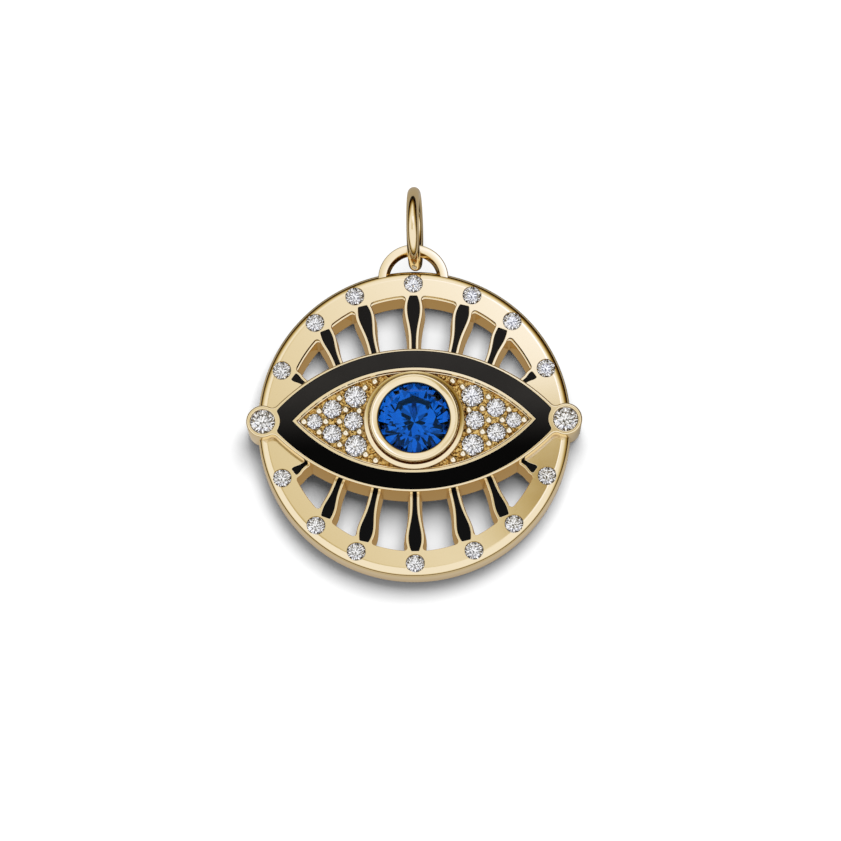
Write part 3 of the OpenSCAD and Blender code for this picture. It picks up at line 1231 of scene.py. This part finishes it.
    def build(self, finishes: Finishes) -> bpy.types.Object:
        """Cast the disc.

        Args:
            finishes: The pendant's materials.

        Returns:
            The finished piece.
        """
        cast = Casting()
        rounding = edge_round(self.edge_radius, self.edge_steps)
        levels = rounding[::-1]
        levels += [(inset * self.edge_spread, LAYOUT.disc_top - drop) for inset, drop in rounding]
        back, face = cast.wall([
            (circle((0, 0), LAYOUT.disc_radius - inset, self.rim_steps), z) for inset, z in levels
        ])
        backs, faces = [back], [face]
        for row in LashRow:
            for side in Side:
                for first, second in zip(LASHES, LASHES[1:]):
                    low, high = cast.wall(self.window_rows(first, second, row, side))
                    backs.append(low)
                    faces.append(high)
            for number, lash in enumerate(LASHES):
                for side in Side if number else [Side.RIGHT]:
                    floor, mouth = cast.wall(self.pocket_rows(lash, row, side))
                    cast.fill(floor)
                    faces.append(mouth)
        well = LAYOUT.plate.outline(-self.well_inset)
        floor, mouth = cast.wall([(well, self.well_floor), (well, LAYOUT.disc_top)])
        cast.fill(floor)
        cast.fill(*backs)
        cast.fill(mouth, *faces)
        cast.cut(self.seats())
        return cast.piece("pierced_disc", [finishes.gold], Slot.GOLD, ["medallion"])


@dataclass(frozen=True)
class EyePlate:
    """The raised almond with its enamel pocket, its side bezels and the pave field.

    Each step down to the field gives how far it lies in from the enamel, and how far under
    the face. Each stone's place is shares along and across the field, and its size a share
    of the largest.
    """

    web: float = 0.4
    almond_steps: int = 36
    web_steps: int = 8
    bezel_steps: int = 16
    collar_steps: int = 10
    edge: float = 0.12
    edge_steps: int = 4
    foot: float = 0.01
    back_edge: float = 0.05
    flare: float = 0.1
    pocket_floor: float = 2.76
    pocket_edge: float = 0.03
    band_corner: float = 0.18
    collar: float = 0.05
    lip_inside: float = 0.77
    lip_round: float = 0.09
    lip_steps: int = 5
    lip_points: int = 56
    well_radius: float = 3.0
    well_floor: float = 0.4
    well_points: int = 64
    drilled_to: float = 0.8
    pave_size: float = 1.4
    field_start: float = 3.15
    field_edge: float = 0.18
    field_foot: float = 0.3
    field_steps: tuple[Point, ...] = ((0.15, 0), (0.17, 0.01), (0.235, 0.12), (0.28, 0.13))
    stones: tuple[Triple, ...] = (
        (0.133, 0.494, 1),
        (0.167, 0, 0.857),
        (0.133, -0.494, 1),
        (0.476, 0.248, 0.857),
        (0.476, -0.248, 0.857),
        (0.736, 0, 0.714),
    )

    @property
    def field(self) -> Almond:
        """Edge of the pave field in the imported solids.

        Returns:
            The almond that the edge follows.
        """
        radius = LAYOUT.band_inside.radius - self.field_edge
        offset = LAYOUT.band_inside.offset
        return Almond(math.sqrt(radius**2 - offset**2), radius - offset)

    def field_place(self, along: float, across: float, side: Side) -> Point:
        """Find a place in the pave field from its shares along and across it."""
        x = self.field_start + along * (self.field.half_length - self.field_start)
        return side.value * x, across * self.field.half_height

    def outline(self, grow: float, bezel_grow: float) -> list[Point]:
        """Draw the plate and its two side bezels as one outline with soft webs.

        Args:
            grow: How far the almond moves outwards.
            bezel_grow: How far the bezels do.

        Returns:
            The closed outline.
        """
        middle, hub = (0, -LAYOUT.plate.offset), (LAYOUT.plate.half_length, 0)
        almond_r, bezel_r = LAYOUT.plate.radius + grow, LAYOUT.side_radius + bezel_grow
        web = self.web - grow
        nook = circles_meet(middle, almond_r + web, hub, bezel_r + web)
        leave, reach = bearing(middle, nook), bearing(hub, nook)
        quarter = arc(middle, almond_r, 90, leave, self.almond_steps)
        quarter += arc(nook, web, leave + 180, reach + 180, self.web_steps)[1:]
        quarter += arc(hub, bezel_r, reach, 0, self.bezel_steps)[1:]
        return four_fold(quarter)

    def band(self, grow: float) -> list[Point]:
        """Draw the enamel band's outer edge, which curves in round the side bezels.

        Args:
            grow: How far the edge moves outwards.

        Returns:
            The closed outline.
        """
        almond = LAYOUT.band_outside
        middle, hub = (0, -almond.offset), (LAYOUT.plate.half_length, 0)
        almond_r, clear = almond.radius + grow, LAYOUT.side_radius + self.collar - grow
        corner = self.band_corner + grow
        nook = circles_meet(middle, almond_r - corner, hub, clear + corner)
        leave, reach = bearing(middle, nook), bearing(hub, nook)
        quarter = arc(middle, almond_r, 90, leave, self.almond_steps)
        quarter += arc(nook, corner, leave, reach - 180, self.web_steps)[1:]
        quarter += arc(hub, clear, reach, 180, self.collar_steps)[1:]
        return four_fold(quarter)

    def outer_wall(self, cast: Casting) -> Edges:
        """Raise the plate's outside and close its back.

        Args:
            cast: The plate in the making.

        Returns:
            The edge of its face.
        """
        rows = [
            (self.outline(-self.back_edge, -self.back_edge - self.flare), self.foot),
            (self.outline(0, -self.flare), self.foot + self.back_edge),
        ]
        rows += [
            (self.outline(-inset, -inset), LAYOUT.eye_top - drop)
            for inset, drop in edge_round(self.edge, self.edge_steps)
        ]
        back, face = cast.wall(rows)
        cast.fill(back)
        return face

    def enamel_pocket(self, cast: Casting) -> tuple[Edges, Edges]:
        """Sink the enamel's pocket.

        Args:
            cast: The plate in the making.

        Returns:
            The pocket's outer edge, and the edge of the island in it.
        """
        levels = [(0.0, self.pocket_floor)]
        levels += [
            (inset, LAYOUT.eye_top - drop)
            for inset, drop in edge_round(self.pocket_edge, POCKET_STEPS)
        ]
        floor, mouth = cast.wall([(self.band(grow), z) for grow, z in levels])
        foot, island = cast.wall([(LAYOUT.band_inside.outline(-grow), z) for grow, z in levels])
        cast.fill(floor, foot)
        return mouth, island

    def side_seat(self, cast: Casting, side: Side) -> Edges:
        """Sink a side stone's seat.

        Args:
            cast: The plate in the making.
            side: The stone's side.

        Returns:
            The edge of the seat's mouth.
        """
        place = (side.value * LAYOUT.plate.half_length, 0)
        top = LAYOUT.eye_top
        section = LAYOUT.side_stone.seat(
            self.lip_inside, top - self.lip_round, LAYOUT.side_foot, self.drilled_to
        )[-2::-1]
        rounding = edge_round(self.lip_round, self.lip_steps)
        section += [(self.lip_inside + inset, top - drop) for inset, drop in rounding[1:]]
        floor, mouth = cast.wall([(circle(place, r, self.lip_points), z) for r, z in section])
        cast.fill(floor)
        return mouth

    def pave_field(self, cast: Casting, island: Edges) -> None:
        """Step down from the island's edge to the field's floor and sink the stones' seats.

        Args:
            cast: The plate in the making.
            island: The edge of the island in the enamel.
        """
        floor = LAYOUT.field_floor
        steps = [(inset, LAYOUT.eye_top - drop) for inset, drop in self.field_steps]
        steps.append((self.field_foot, floor))
        edge, foot = cast.wall([(LAYOUT.band_inside.outline(-inset), z) for inset, z in steps])
        cast.fill(island, edge)
        well = circle((0, 0), self.well_radius, self.well_points)
        pit, mouth = cast.wall([(well, self.well_floor), (well, floor)])
        cast.fill(pit)
        holes = [foot, mouth]
        for along, across, size in self.stones:
            stone = Brilliant(self.pave_size * size)
            clear = stone.diameter / 2 + LAYOUT.gap
            seat = stone.seat(clear, floor, LAYOUT.pave_foot, self.drilled_to)
            section = seat[-2:3:-1] + [(clear, floor)]
            for side in Side:
                place = self.field_place(along, across, side)
                pit, mouth = cast.wall([(circle(place, r, SEAT_STEPS), z) for r, z in section])
                cast.fill(pit, finish=1)
                holes.append(mouth)
        cast.fill(*holes, finish=1)

    def build(self, finishes: Finishes) -> bpy.types.Object:
        """Cast the plate.

        Args:
            finishes: The pendant's materials.

        Returns:
            The finished piece.
        """
        cast = Casting()
        face = self.outer_wall(cast)
        mouth, island = self.enamel_pocket(cast)
        seats = [self.side_seat(cast, side) for side in Side]
        cast.fill(face, mouth, *seats)
        self.pave_field(cast, island)
        golds = [finishes.gold, finishes.shaded_field_gold]
        return cast.piece("eye_plate", golds, Slot.GOLD, ["medallion"])


@dataclass(frozen=True)
class Enamel:
    """The black enamel of the eye band and of the lashes.

    Each row of the crown gives how far it lies in from the enamel's edge, and how far under
    its top as a share of the dome.
    """

    thickness: float = 0.3
    drop: float = 0.02
    dome: float = 0.03
    crown: tuple[Point, ...] = ((0, 1), (0.012, 0.4), (0.035, 0.1), (0.07, 0))

    def rows(self, top: float) -> list[Point]:
        """List the rows of the enamel's wall, from its foot up to its face.

        Args:
            top: Height of its face.

        Returns:
            How far each row lies in from the pocket's wall, and its height.
        """
        gap = LAYOUT.gap
        rows = [(gap, top - self.thickness)]
        return rows + [(gap + inset, top - self.dome * share) for inset, share in self.crown]

    def eye_band(self, plate: EyePlate, finishes: Finishes) -> None:
        """Fire the band round the eye.

        Args:
            plate: The plate that it lies in.
            finishes: The pendant's materials.
        """
        cast = Casting()
        levels = self.rows(LAYOUT.eye_top - self.drop)
        floor, face = cast.wall([(plate.band(-inset), z) for inset, z in levels])
        foot, rim = cast.wall([(LAYOUT.band_inside.outline(inset), z) for inset, z in levels])
        cast.fill(floor, foot)
        cast.fill(face, rim)
        cast.piece("eye_band_enamel", [finishes.enamel], Slot.ENAMEL, ["eye_enamel"])

    def lash(self, number: int, row: LashRow, side: Side, finishes: Finishes) -> None:
        """Fire one lash.

        Args:
            number: Number of the lash, from zero in the middle.
            row: Row of lashes.
            side: Half of the pendant.
            finishes: The pendant's materials.
        """
        cast = Casting()
        levels = self.rows(LAYOUT.disc_top - self.drop)
        floor, face = cast.wall([
            (flipped(LASHES[number].outline(-inset), row, side), z) for inset, z in levels
        ])
        cast.fill(floor)
        cast.fill(face)
        label = f"{row.name.lower()}_{len(LASHES) + number * side.value}"
        node = f"lash_enamel_{label}"
        cast.piece(f"lash_{label}", [finishes.lash_enamel], Slot.ENAMEL, [node], flat_faces=False)

    def build(self, plate: EyePlate, finishes: Finishes) -> None:
        """Fire all the enamel.

        Args:
            plate: The plate that the eye's band lies in.
            finishes: The pendant's materials.
        """
        self.eye_band(plate, finishes)
        for row in LashRow:
            for number in range(len(LASHES)):
                for side in Side if number else [Side.RIGHT]:
                    self.lash(number, row, side, finishes)


@dataclass(frozen=True)
class SapphireBezel:
    """The collar that holds the sapphire: a base, a groove and a round front ring."""

    body_radius: float = 2.9
    foot: float = 0.45
    skirt: float = 0.1
    base_radius: float = 3.21
    base_top: float = 3.16
    base_edge: float = 0.06
    base_steps: int = 4
    shelf: float = 2.95
    shelf_top: float = 3.27
    neck: float = 2.68
    cove_depth: float = 0.2
    groove: float = 0.1
    ring_foot: float = 3.3
    ring_edge: float = 0.17
    outer_edge: Point = (2.72, 3.81)
    outer_steps: int = 10
    inner_edge: Point = (2.43, 3.748)
    inner_steps: int = 5
    steps: int = 112
    stone: Brilliant = Brilliant(5.0)

    def section(self) -> list[Point]:
        """Draw the collar's section from the bottom of its outside to the seat's axis.

        Returns:
            Radius and height of each point.
        """
        skirt_foot = LAYOUT.field_floor - self.skirt
        cove_foot = self.shelf_top - self.cove_depth
        mouth = self.inner_edge[0] - self.ring_edge
        face = (bearing(self.outer_edge, self.inner_edge) - 90) % 360
        section = [
            (0, self.foot),
            (self.body_radius, self.foot),
            (self.body_radius, skirt_foot),
            (self.base_radius, skirt_foot),
        ]
        section += [
            (self.base_radius - inset, self.base_top - drop)
            for inset, drop in edge_round(self.base_edge, self.base_steps)
        ]
        section += [
            (self.shelf, self.shelf_top),
            (self.shelf - self.cove_depth, cove_foot),
            (self.neck, cove_foot),
            (self.neck, self.ring_foot),
            (self.neck + self.groove, self.ring_foot + self.groove),
        ]
        section += arc(self.outer_edge, self.ring_edge, 0, face, self.outer_steps)
        section += arc(self.inner_edge, self.ring_edge, face, 180, self.inner_steps)
        return section + self.stone.seat(mouth, self.inner_edge[1], LAYOUT.sapphire_foot)[1:]

    def build(self, finishes: Finishes) -> bpy.types.Object:
        """Turn the collar.

        Args:
            finishes: The pendant's materials.

        Returns:
            The finished piece.
        """
        cast = Casting()
        cast.turned(self.section(), self.steps)
        return cast.piece("sapphire_bezel", [finishes.gold], Slot.GOLD, ["medallion"])


@dataclass(frozen=True)
class ProngBeads:
    """Beads raised from the field's metal, which hold the pave stones.

    Each place is shares along and across the pave field.
    """

    radius: float = 0.225
    flat: float = 0.62
    rise: float = 0.14
    foot: float = 0.06
    steps: int = 24
    dome_steps: int = 9
    places: tuple[Point, ...] = (
        (-0.156, 0.791),
        (-0.011, 0.671),
        (0.077, 0.209),
        (0.278, 0.234),
        (0.368, 0.468),
        (0.37, 0),
        (0.569, 0),
        (0.666, 0.211),
        (0.885, 0),
    )

    def build(self, plate: EyePlate, finishes: Finishes) -> bpy.types.Object:
        """Raise all the beads as one piece.

        Args:
            plate: The plate whose field they stand in.
            finishes: The pendant's materials.

        Returns:
            The finished piece.
        """
        cast = Casting()
        base = LAYOUT.field_floor - self.foot
        dome = arc((0, 0), self.radius, 90, 0, self.dome_steps)
        section = [(r, LAYOUT.field_floor + self.rise + z * self.flat) for r, z in dome]
        section += [(self.radius, base), (0, base)]
        for along, across in self.places:
            for side in Side:
                x, y = plate.field_place(along, across, side)
                for flip in (1, -1) if across else (1,):
                    cast.turned(section, self.steps, (x, y * flip))
        golds = [finishes.lit_bead_gold]
        return cast.piece("prong_beads", golds, Slot.GOLD, ["medallion"], flat_faces=False)


@dataclass(frozen=True)
class Bail:
    """The arch on the rim that the jump ring passes through."""

    middle_y: float = 9.503
    inside: float = 1.53
    width: float = 0.72
    back: float = 1.45
    thickness: float = 0.65
    leg: float = 0.604
    edge: float = 0.07
    ridge: float = 0.04
    bevel: float = 0.22
    steps: int = 56

    def section(self) -> list[Point]:
        """Draw the bar's section.

        Returns:
            Radius from the arch's middle, and height, of each point.
        """
        low, high = self.back, self.back + self.thickness
        inner, outer = self.inside, self.inside + self.width
        return softened([
            (outer, low, self.edge),
            (outer, high, self.edge),
            (inner + self.bevel, high, self.ridge),
            (inner, (low + high) / 2, self.ridge),
            (inner + self.bevel, low, self.ridge),
        ])

    def build(self, finishes: Finishes) -> bpy.types.Object:
        """Bend the arch and draw out its legs.

        Args:
            finishes: The pendant's materials.

        Returns:
            The finished piece.
        """
        cast = Casting()
        mesh = cast.mesh
        verts = [mesh.verts.new((r, self.middle_y, z)) for r, z in self.section()]
        first = [mesh.edges.new(pair) for pair in zip(verts, verts[1:] + verts[:1])]
        arch = bmesh.ops.spin(
            mesh,
            geom=verts + first,
            cent=(0, self.middle_y, 0),
            axis=(0, 0, 1),
            angle=math.pi,
            steps=self.steps,
        )
        last = [part for part in arch["geom_last"] if isinstance(part, bmesh.types.BMEdge)]
        for end in (first, last):
            drawn = bmesh.ops.extrude_edge_only(mesh, edges=end)["geom"]
            tips = [part for part in drawn if isinstance(part, bmesh.types.BMVert)]
            edges = [part for part in drawn if isinstance(part, bmesh.types.BMEdge)]
            bmesh.ops.translate(mesh, vec=(0, -self.leg, 0), verts=tips)
            bmesh.ops.contextual_create(mesh, geom=edges)
        return cast.piece("bail_arch", [finishes.gold], Slot.GOLD, ["medallion"], flat_faces=False)


@dataclass(frozen=True)
class JumpRing:
    """The round wire ring that stands in the bail."""

    wire: float = 0.4
    wire_points: int = 28
    middle_radius: float = 2.3
    steps: int = 120
    lean: float = 3.0
    place: Triple = (0.12, 12.62, 2.697)

    def build(self, finishes: Finishes) -> bpy.types.Object:
        """Bend the ring and stand it up.

        Args:
            finishes: The pendant's materials.

        Returns:
            The finished piece.
        """
        cast = Casting()
        section = circle((self.middle_radius, 0), self.wire, self.wire_points)
        cast.turned(section, self.steps, closed=True)
        stand = Matrix.Rotation(math.radians(90), 3, "Y")
        tilt = Matrix.Rotation(math.radians(-self.lean), 3, "Y")
        bmesh.ops.rotate(cast.mesh, cent=(0, 0, 0), matrix=tilt @ stand, verts=cast.mesh.verts)
        bmesh.ops.translate(cast.mesh, vec=self.place, verts=cast.mesh.verts)
        golds = [finishes.wire_gold]
        return cast.piece("round_jump_ring", golds, Slot.GOLD, ["jump_ring"], flat_faces=False)


class Stones:
    """The cut stones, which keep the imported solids' facets."""

    def build(self, finishes: Finishes) -> None:
        """Give each stone its finish.

        Args:
            finishes: The pendant's materials.
        """
        for name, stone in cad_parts.items():
            if name == "sapphire":
                finish, slot = finishes.sapphire, Slot.SAPPHIRE
            elif "diamond" in name:
                finish, slot = finishes.diamond, Slot.DIAMOND
            else:
                continue
            stone.data.materials.clear()
            stone.data.materials.append(finish)
            log.info("%s: dressed as %s", name, finish.name)


@dataclass(frozen=True)
class SoftBox:
    """A large soft light over the table, which shows in no reflection, in metres."""

    name: str
    place: Triple
    size: Point
    power: float

    def hang(self, shadowless: Sequence[bpy.types.Object]) -> None:
        """Hang the light, aimed at the pendant.

        Args:
            shadowless: Pieces that throw no shadow in this light.
        """
        lamp = bpy.data.lights.new(self.name, "AREA")
        lamp.shape = "RECTANGLE"
        lamp.size, lamp.size_y = self.size
        lamp.energy = self.power
        made = bpy.data.objects.new(self.name, lamp)
        made.location = self.place
        made.rotation_euler = (-Vector(self.place)).to_track_quat("-Z", "Y").to_euler()
        for ray in ("camera", "glossy", "transmission"):
            setattr(made, f"visible_{ray}", False)
        bpy.context.scene.collection.objects.link(made)
        blockers = bpy.data.collections.new(self.name + "_blockers")
        made.light_linking.blocker_collection = blockers
        for number, piece in enumerate(shadowless):
            blockers.objects.link(piece)
            blockers.collection_objects[number].light_linking.link_state = "EXCLUDE"


def flat_sheet(
    name: str, size: Point, finish: bpy.types.Material, unseen_by: Sequence[str]
) -> bpy.types.Object:
    """Make a level sheet of the studio.

    Args:
        name: Name of the sheet.
        size: Its length along x and y, in metres.
        finish: Its material.
        unseen_by: Kinds of ray that pass through it.

    Returns:
        The sheet, in the middle of the scene.
    """
    mesh = bpy.data.meshes.new(name)
    shape = bmesh.new()
    bmesh.ops.create_grid(shape, x_segments=1, y_segments=1, size=0.5)
    bmesh.ops.scale(shape, vec=(*size, 1), verts=shape.verts)
    shape.to_mesh(mesh)
    shape.free()
    mesh.materials.append(finish)
    sheet = bpy.data.objects.new(name, mesh)
    for ray in unseen_by:
        setattr(sheet, f"visible_{ray}", False)
    bpy.context.scene.collection.objects.link(sheet)
    return sheet


@dataclass(frozen=True)
class GlowingCard(ABC):
    """A level card that shows only in reflections, in metres."""

    name: str
    size: Point
    middle: Triple

    @abstractmethod
    def light(self, wiring: Wiring, place: Socket, effects: Effects) -> Socket:
        """Work out the colour of the card's light.

        Args:
            wiring: Wiring of its material.
            place: The place on the card, from its middle.
            effects: The shared node groups.

        Returns:
            The colour there.
        """

    def hang(self, effects: Effects) -> None:
        """Hang the card.

        Args:
            effects: The shared node groups.
        """
        made = bpy.data.materials.new(self.name)
        made.use_nodes = True
        made.cycles.emission_sampling = "NONE"
        wiring = Wiring(made.node_tree)
        made.node_tree.nodes.clear()
        glow = wiring.add("Emission", {"Color": self.light(wiring, wiring.place(), effects)})
        wiring.add("OutputMaterial", {"Surface": glow.outputs[0]})
        unseen_by = ("camera", "diffuse", "shadow", "transmission")
        flat_sheet(self.name, self.size, made, unseen_by).location = self.middle


@dataclass(frozen=True)
class OverheadCard(GlowingCard):
    """The near card that the level faces mirror: a slope of light with a soft dark spot."""

    name: str = "overhead_card"
    size: Point = (0.05, 0.05)
    middle: Triple = (0, 0.018, 0.08)
    level: float = 0.915
    slope: Point = (12.6, 7.6)
    spot: Point = (0.0107, -0.0052)
    spot_size: Point = (0.0053, 0.0053)
    spot_reach: float = 1.9
    spot_depth: float = 0.69

    def light(self, wiring: Wiring, place: Socket, effects: Effects) -> Socket:
        """Slope the light and take the spot out of it.

        Args:
            wiring: Wiring of the card's material.
            place: The place on the card, from its middle.
            effects: The shared node groups.

        Returns:
            The colour there.
        """
        rise = wiring.vector("DOT_PRODUCT", place, (*self.slope, 0))
        level = wiring.number("ADD", rise, self.level)
        apart = wiring.vector("SUBTRACT", place, (*self.spot, 0))
        away = wiring.vector("LENGTH", wiring.vector("DIVIDE", apart, (*self.spot_size, 1)))
        dark = wiring.ramp(away, (0.0, self.spot_reach), (self.spot_depth, 0.0), soft=True)
        strength = wiring.number("SUBTRACT", level, dark)
        return wiring.add("Group", {0: strength}, node_tree=effects.warm_light).outputs["Color"]


@dataclass(frozen=True)
class TableSheen(GlowingCard):
    """The table as the gold mirrors it, a glowing sheet with painted shade: a brown painted shadow
    under the pendant, tan in front, and dark painted shade behind it, strongest near its edge.
    """

    name: str = "table_sheen"
    size: Point = (0.8, 0.8)
    middle: Triple = (0, 0, 0.000005)
    under: Triple = (0.36, 0.25, 0.13)
    beyond: Triple = (0.56, 0.51, 0.45)
    edge: Point = (0.0096, 0.0104)
    shade: Triple = (0.045, 0.03, 0.012)
    dark_way: Point = (0.2, 0.98)
    dark_span: Point = (-0.1, 0.45)
    dark_reach: Point = (0.0118, 0.0145)
    dark_share: Point = (1.0, 0.28)

    def light(self, wiring: Wiring, place: Socket, effects: Effects) -> Socket:
        """Paint the pendant's shadow under it and the shade behind it.

        Args:
            wiring: Wiring of the card's material.
            place: The place on the card, from its middle.
            effects: The shared node groups.

        Returns:
            The colour there.
        """
        # Painted shadow and shade: the under colour inside the pendant's edge, and the shade colour
        # behind it, strongest within a few millimetres
        away = wiring.vector("LENGTH", place)
        outside = wiring.ramp(away, self.edge)
        way = wiring.vector("NORMALIZE", place)
        behind = wiring.vector("DOT_PRODUCT", way, (*self.dark_way, 0))
        dark = wiring.ramp(behind, self.dark_span, soft=True)
        near = wiring.ramp(away, self.dark_reach, self.dark_share)
        far = wiring.mix(wiring.number("MULTIPLY", dark, near), self.beyond, self.shade)
        return wiring.mix(outside, self.under, far)


@dataclass(frozen=True)
class Sky:
    """The room round the table: an even grey for the table, a studio for reflections."""

    even: float = 0.42
    level: float = 0.95
    side_way: Triple = (0.12, 0.62, 0.7)
    side_fade: Point = (0.42, 0.98)
    side_least: float = 0.05
    lean: float = -0.1
    rise: Point = (0.1, 0.55)
    patch_scale: float = 3.6
    patch_detail: float = 0.0
    patch_edge: Point = (0.48, 0.6)
    patch_light: Point = (0.0, 1.25)

    def mirrored(self, wiring: Wiring, way: Socket, effects: Effects) -> Socket:
        """Work out what the metal mirrors: light overhead, dark at the sides and low down.

        Args:
            wiring: Wiring of the world.
            way: Direction of the sky.
            effects: The shared node groups.

        Returns:
            The colour there.
        """
        parts = wiring.add("SeparateXYZ", {0: way}).outputs
        wide = wiring.number("ABSOLUTE", parts["X"])
        turned = wiring.add("CombineXYZ", {0: parts["X"], 1: parts["Y"], 2: wide}).outputs[0]
        aside = wiring.vector("DOT_PRODUCT", turned, self.side_way)
        sides = wiring.ramp(aside, self.side_fade, (self.level, self.side_least), soft=True)
        height = wiring.vector("DOT_PRODUCT", way, (0, self.lean, 1))
        strength = wiring.number("MULTIPLY", sides, wiring.ramp(height, self.rise, soft=True))
        return wiring.add("Group", {0: strength}, node_tree=effects.warm_light).outputs["Color"]

    def light(self, effects: Effects) -> None:
        """Light the room.

        Args:
            effects: The shared node groups.
        """
        world = bpy.data.worlds.new("studio")
        bpy.context.scene.world = world
        world.use_nodes = True
        world.cycles.sampling_method = "NONE"
        wiring = Wiring(world.node_tree)
        way = wiring.place("Generated")
        path = wiring.add("LightPath").outputs
        through = path["Is Transmission Ray"]
        noise = wiring.noise(way, self.patch_scale, self.patch_detail)
        patches = wiring.ramp(noise, self.patch_edge, self.patch_light)
        seen = wiring.mix(through, self.mirrored(wiring, way, effects), patches)
        bright = wiring.number("MAXIMUM", path["Is Glossy Ray"], through)
        tone = wiring.mix(bright, (self.even, self.even, self.even), seen)
        wiring.feed(world.node_tree.nodes["Background"], {"Color": tone})


@dataclass(frozen=True)
class Studio:
    """The white table, the lights and the camera of the portrait.

    Angles are degrees and lengths metres, apart from the sensor's, in millimetres.
    """

    tilt: float = 12.68
    yaw: float = 0.493
    roll: float = 0.4
    distance: float = 0.69
    view_width: float = 0.053698
    sensor: float = 36.0
    clip: Point = (0.01, 10.0)
    aim: Triple = (0.000398, 0.000158, 0.0022)
    table_size: Point = (6.0, 6.0)
    table_drop: float = 0.00001
    table_tones: tuple[Triple, Triple] = ((0.9, 0.9, 0.9), (0.93, 0.93, 0.93))
    grain_scale: float = 400.0
    grain_detail: float = 3.0
    table_roughness: float = 0.7
    key: SoftBox = SoftBox("key_softbox", (0.066, 0.205, 0.5), (0.34, 0.34), 3.05)
    bounces: int = 24
    glossy_bounces: int = 16

    def lay_table(self) -> None:
        """Lay the white table just under the pendant."""
        made, wiring, shader = new_material("white_table")
        grain = wiring.noise(wiring.place(), self.grain_scale, self.grain_detail)
        wiring.feed(shader, {
            "Base Color": wiring.mix(grain, *self.table_tones),
            "Roughness": self.table_roughness,
            "Specular IOR Level": 0.0,
        })
        table = flat_sheet("table", self.table_size, made, ("glossy", "transmission"))
        table.data.transform(Matrix.Translation((0, 0, -self.table_drop)))

    def place_camera(self) -> None:
        """Place the camera where the photographer's stood."""
        lens = bpy.data.cameras.new("portrait")
        lens.sensor_width = self.sensor
        lens.lens = self.sensor * self.distance / self.view_width
        lens.clip_start, lens.clip_end = self.clip
        camera = bpy.data.objects.new("portrait", lens)
        tilt, yaw = math.radians(self.tilt), math.radians(self.yaw)
        back = Vector((math.sin(yaw), -math.sin(tilt) * math.cos(yaw), math.cos(tilt) * math.cos(yaw)))
        camera.location = Vector(self.aim) + back * self.distance
        across = Vector((0, 1, 0)).cross(back).normalized()
        axes = Matrix((across, back.cross(across), back)).transposed()
        turn = Quaternion((0, 0, 1), -math.radians(self.roll))
        camera.rotation_mode = "QUATERNION"
        camera.rotation_quaternion = axes.to_quaternion() @ turn
        bpy.context.scene.collection.objects.link(camera)
        bpy.context.scene.camera = camera

    def set_up(self, effects: Effects, shadowless: Sequence[bpy.types.Object]) -> None:
        """Set up the whole studio.

        Args:
            effects: The shared node groups.
            shadowless: Pieces that stand over the table and throw no shadow on it.
        """
        self.lay_table()
        self.key.hang(shadowless)
        OverheadCard().hang(effects)
        TableSheen().hang(effects)
        Sky().light(effects)
        self.place_camera()
        scene = bpy.context.scene
        scene.view_settings.view_transform = "Standard"
        scene.cycles.caustics_reflective = False
        scene.cycles.caustics_refractive = False
        scene.cycles.max_bounces = self.bounces
        scene.cycles.glossy_bounces = self.glossy_bounces
        scene.cycles.transmission_bounces = self.bounces


def main() -> None:
    """Build the pendant, sub-assembly by sub-assembly, and its studio."""
    logging.basicConfig(level=logging.INFO, format="%(message)s")
    effects = Effects()
    finishes = Finishes(effects)
    plate = EyePlate()
    PiercedDisc().build(finishes)
    plate.build(finishes)
    Enamel().build(plate, finishes)
    SapphireBezel().build(finishes)
    ProngBeads().build(plate, finishes)
    raised = [Bail().build(finishes), JumpRing().build(finishes)]
    Stones().build(finishes)
    Studio().set_up(effects, raised)


if __name__ == "__main__":
    main()
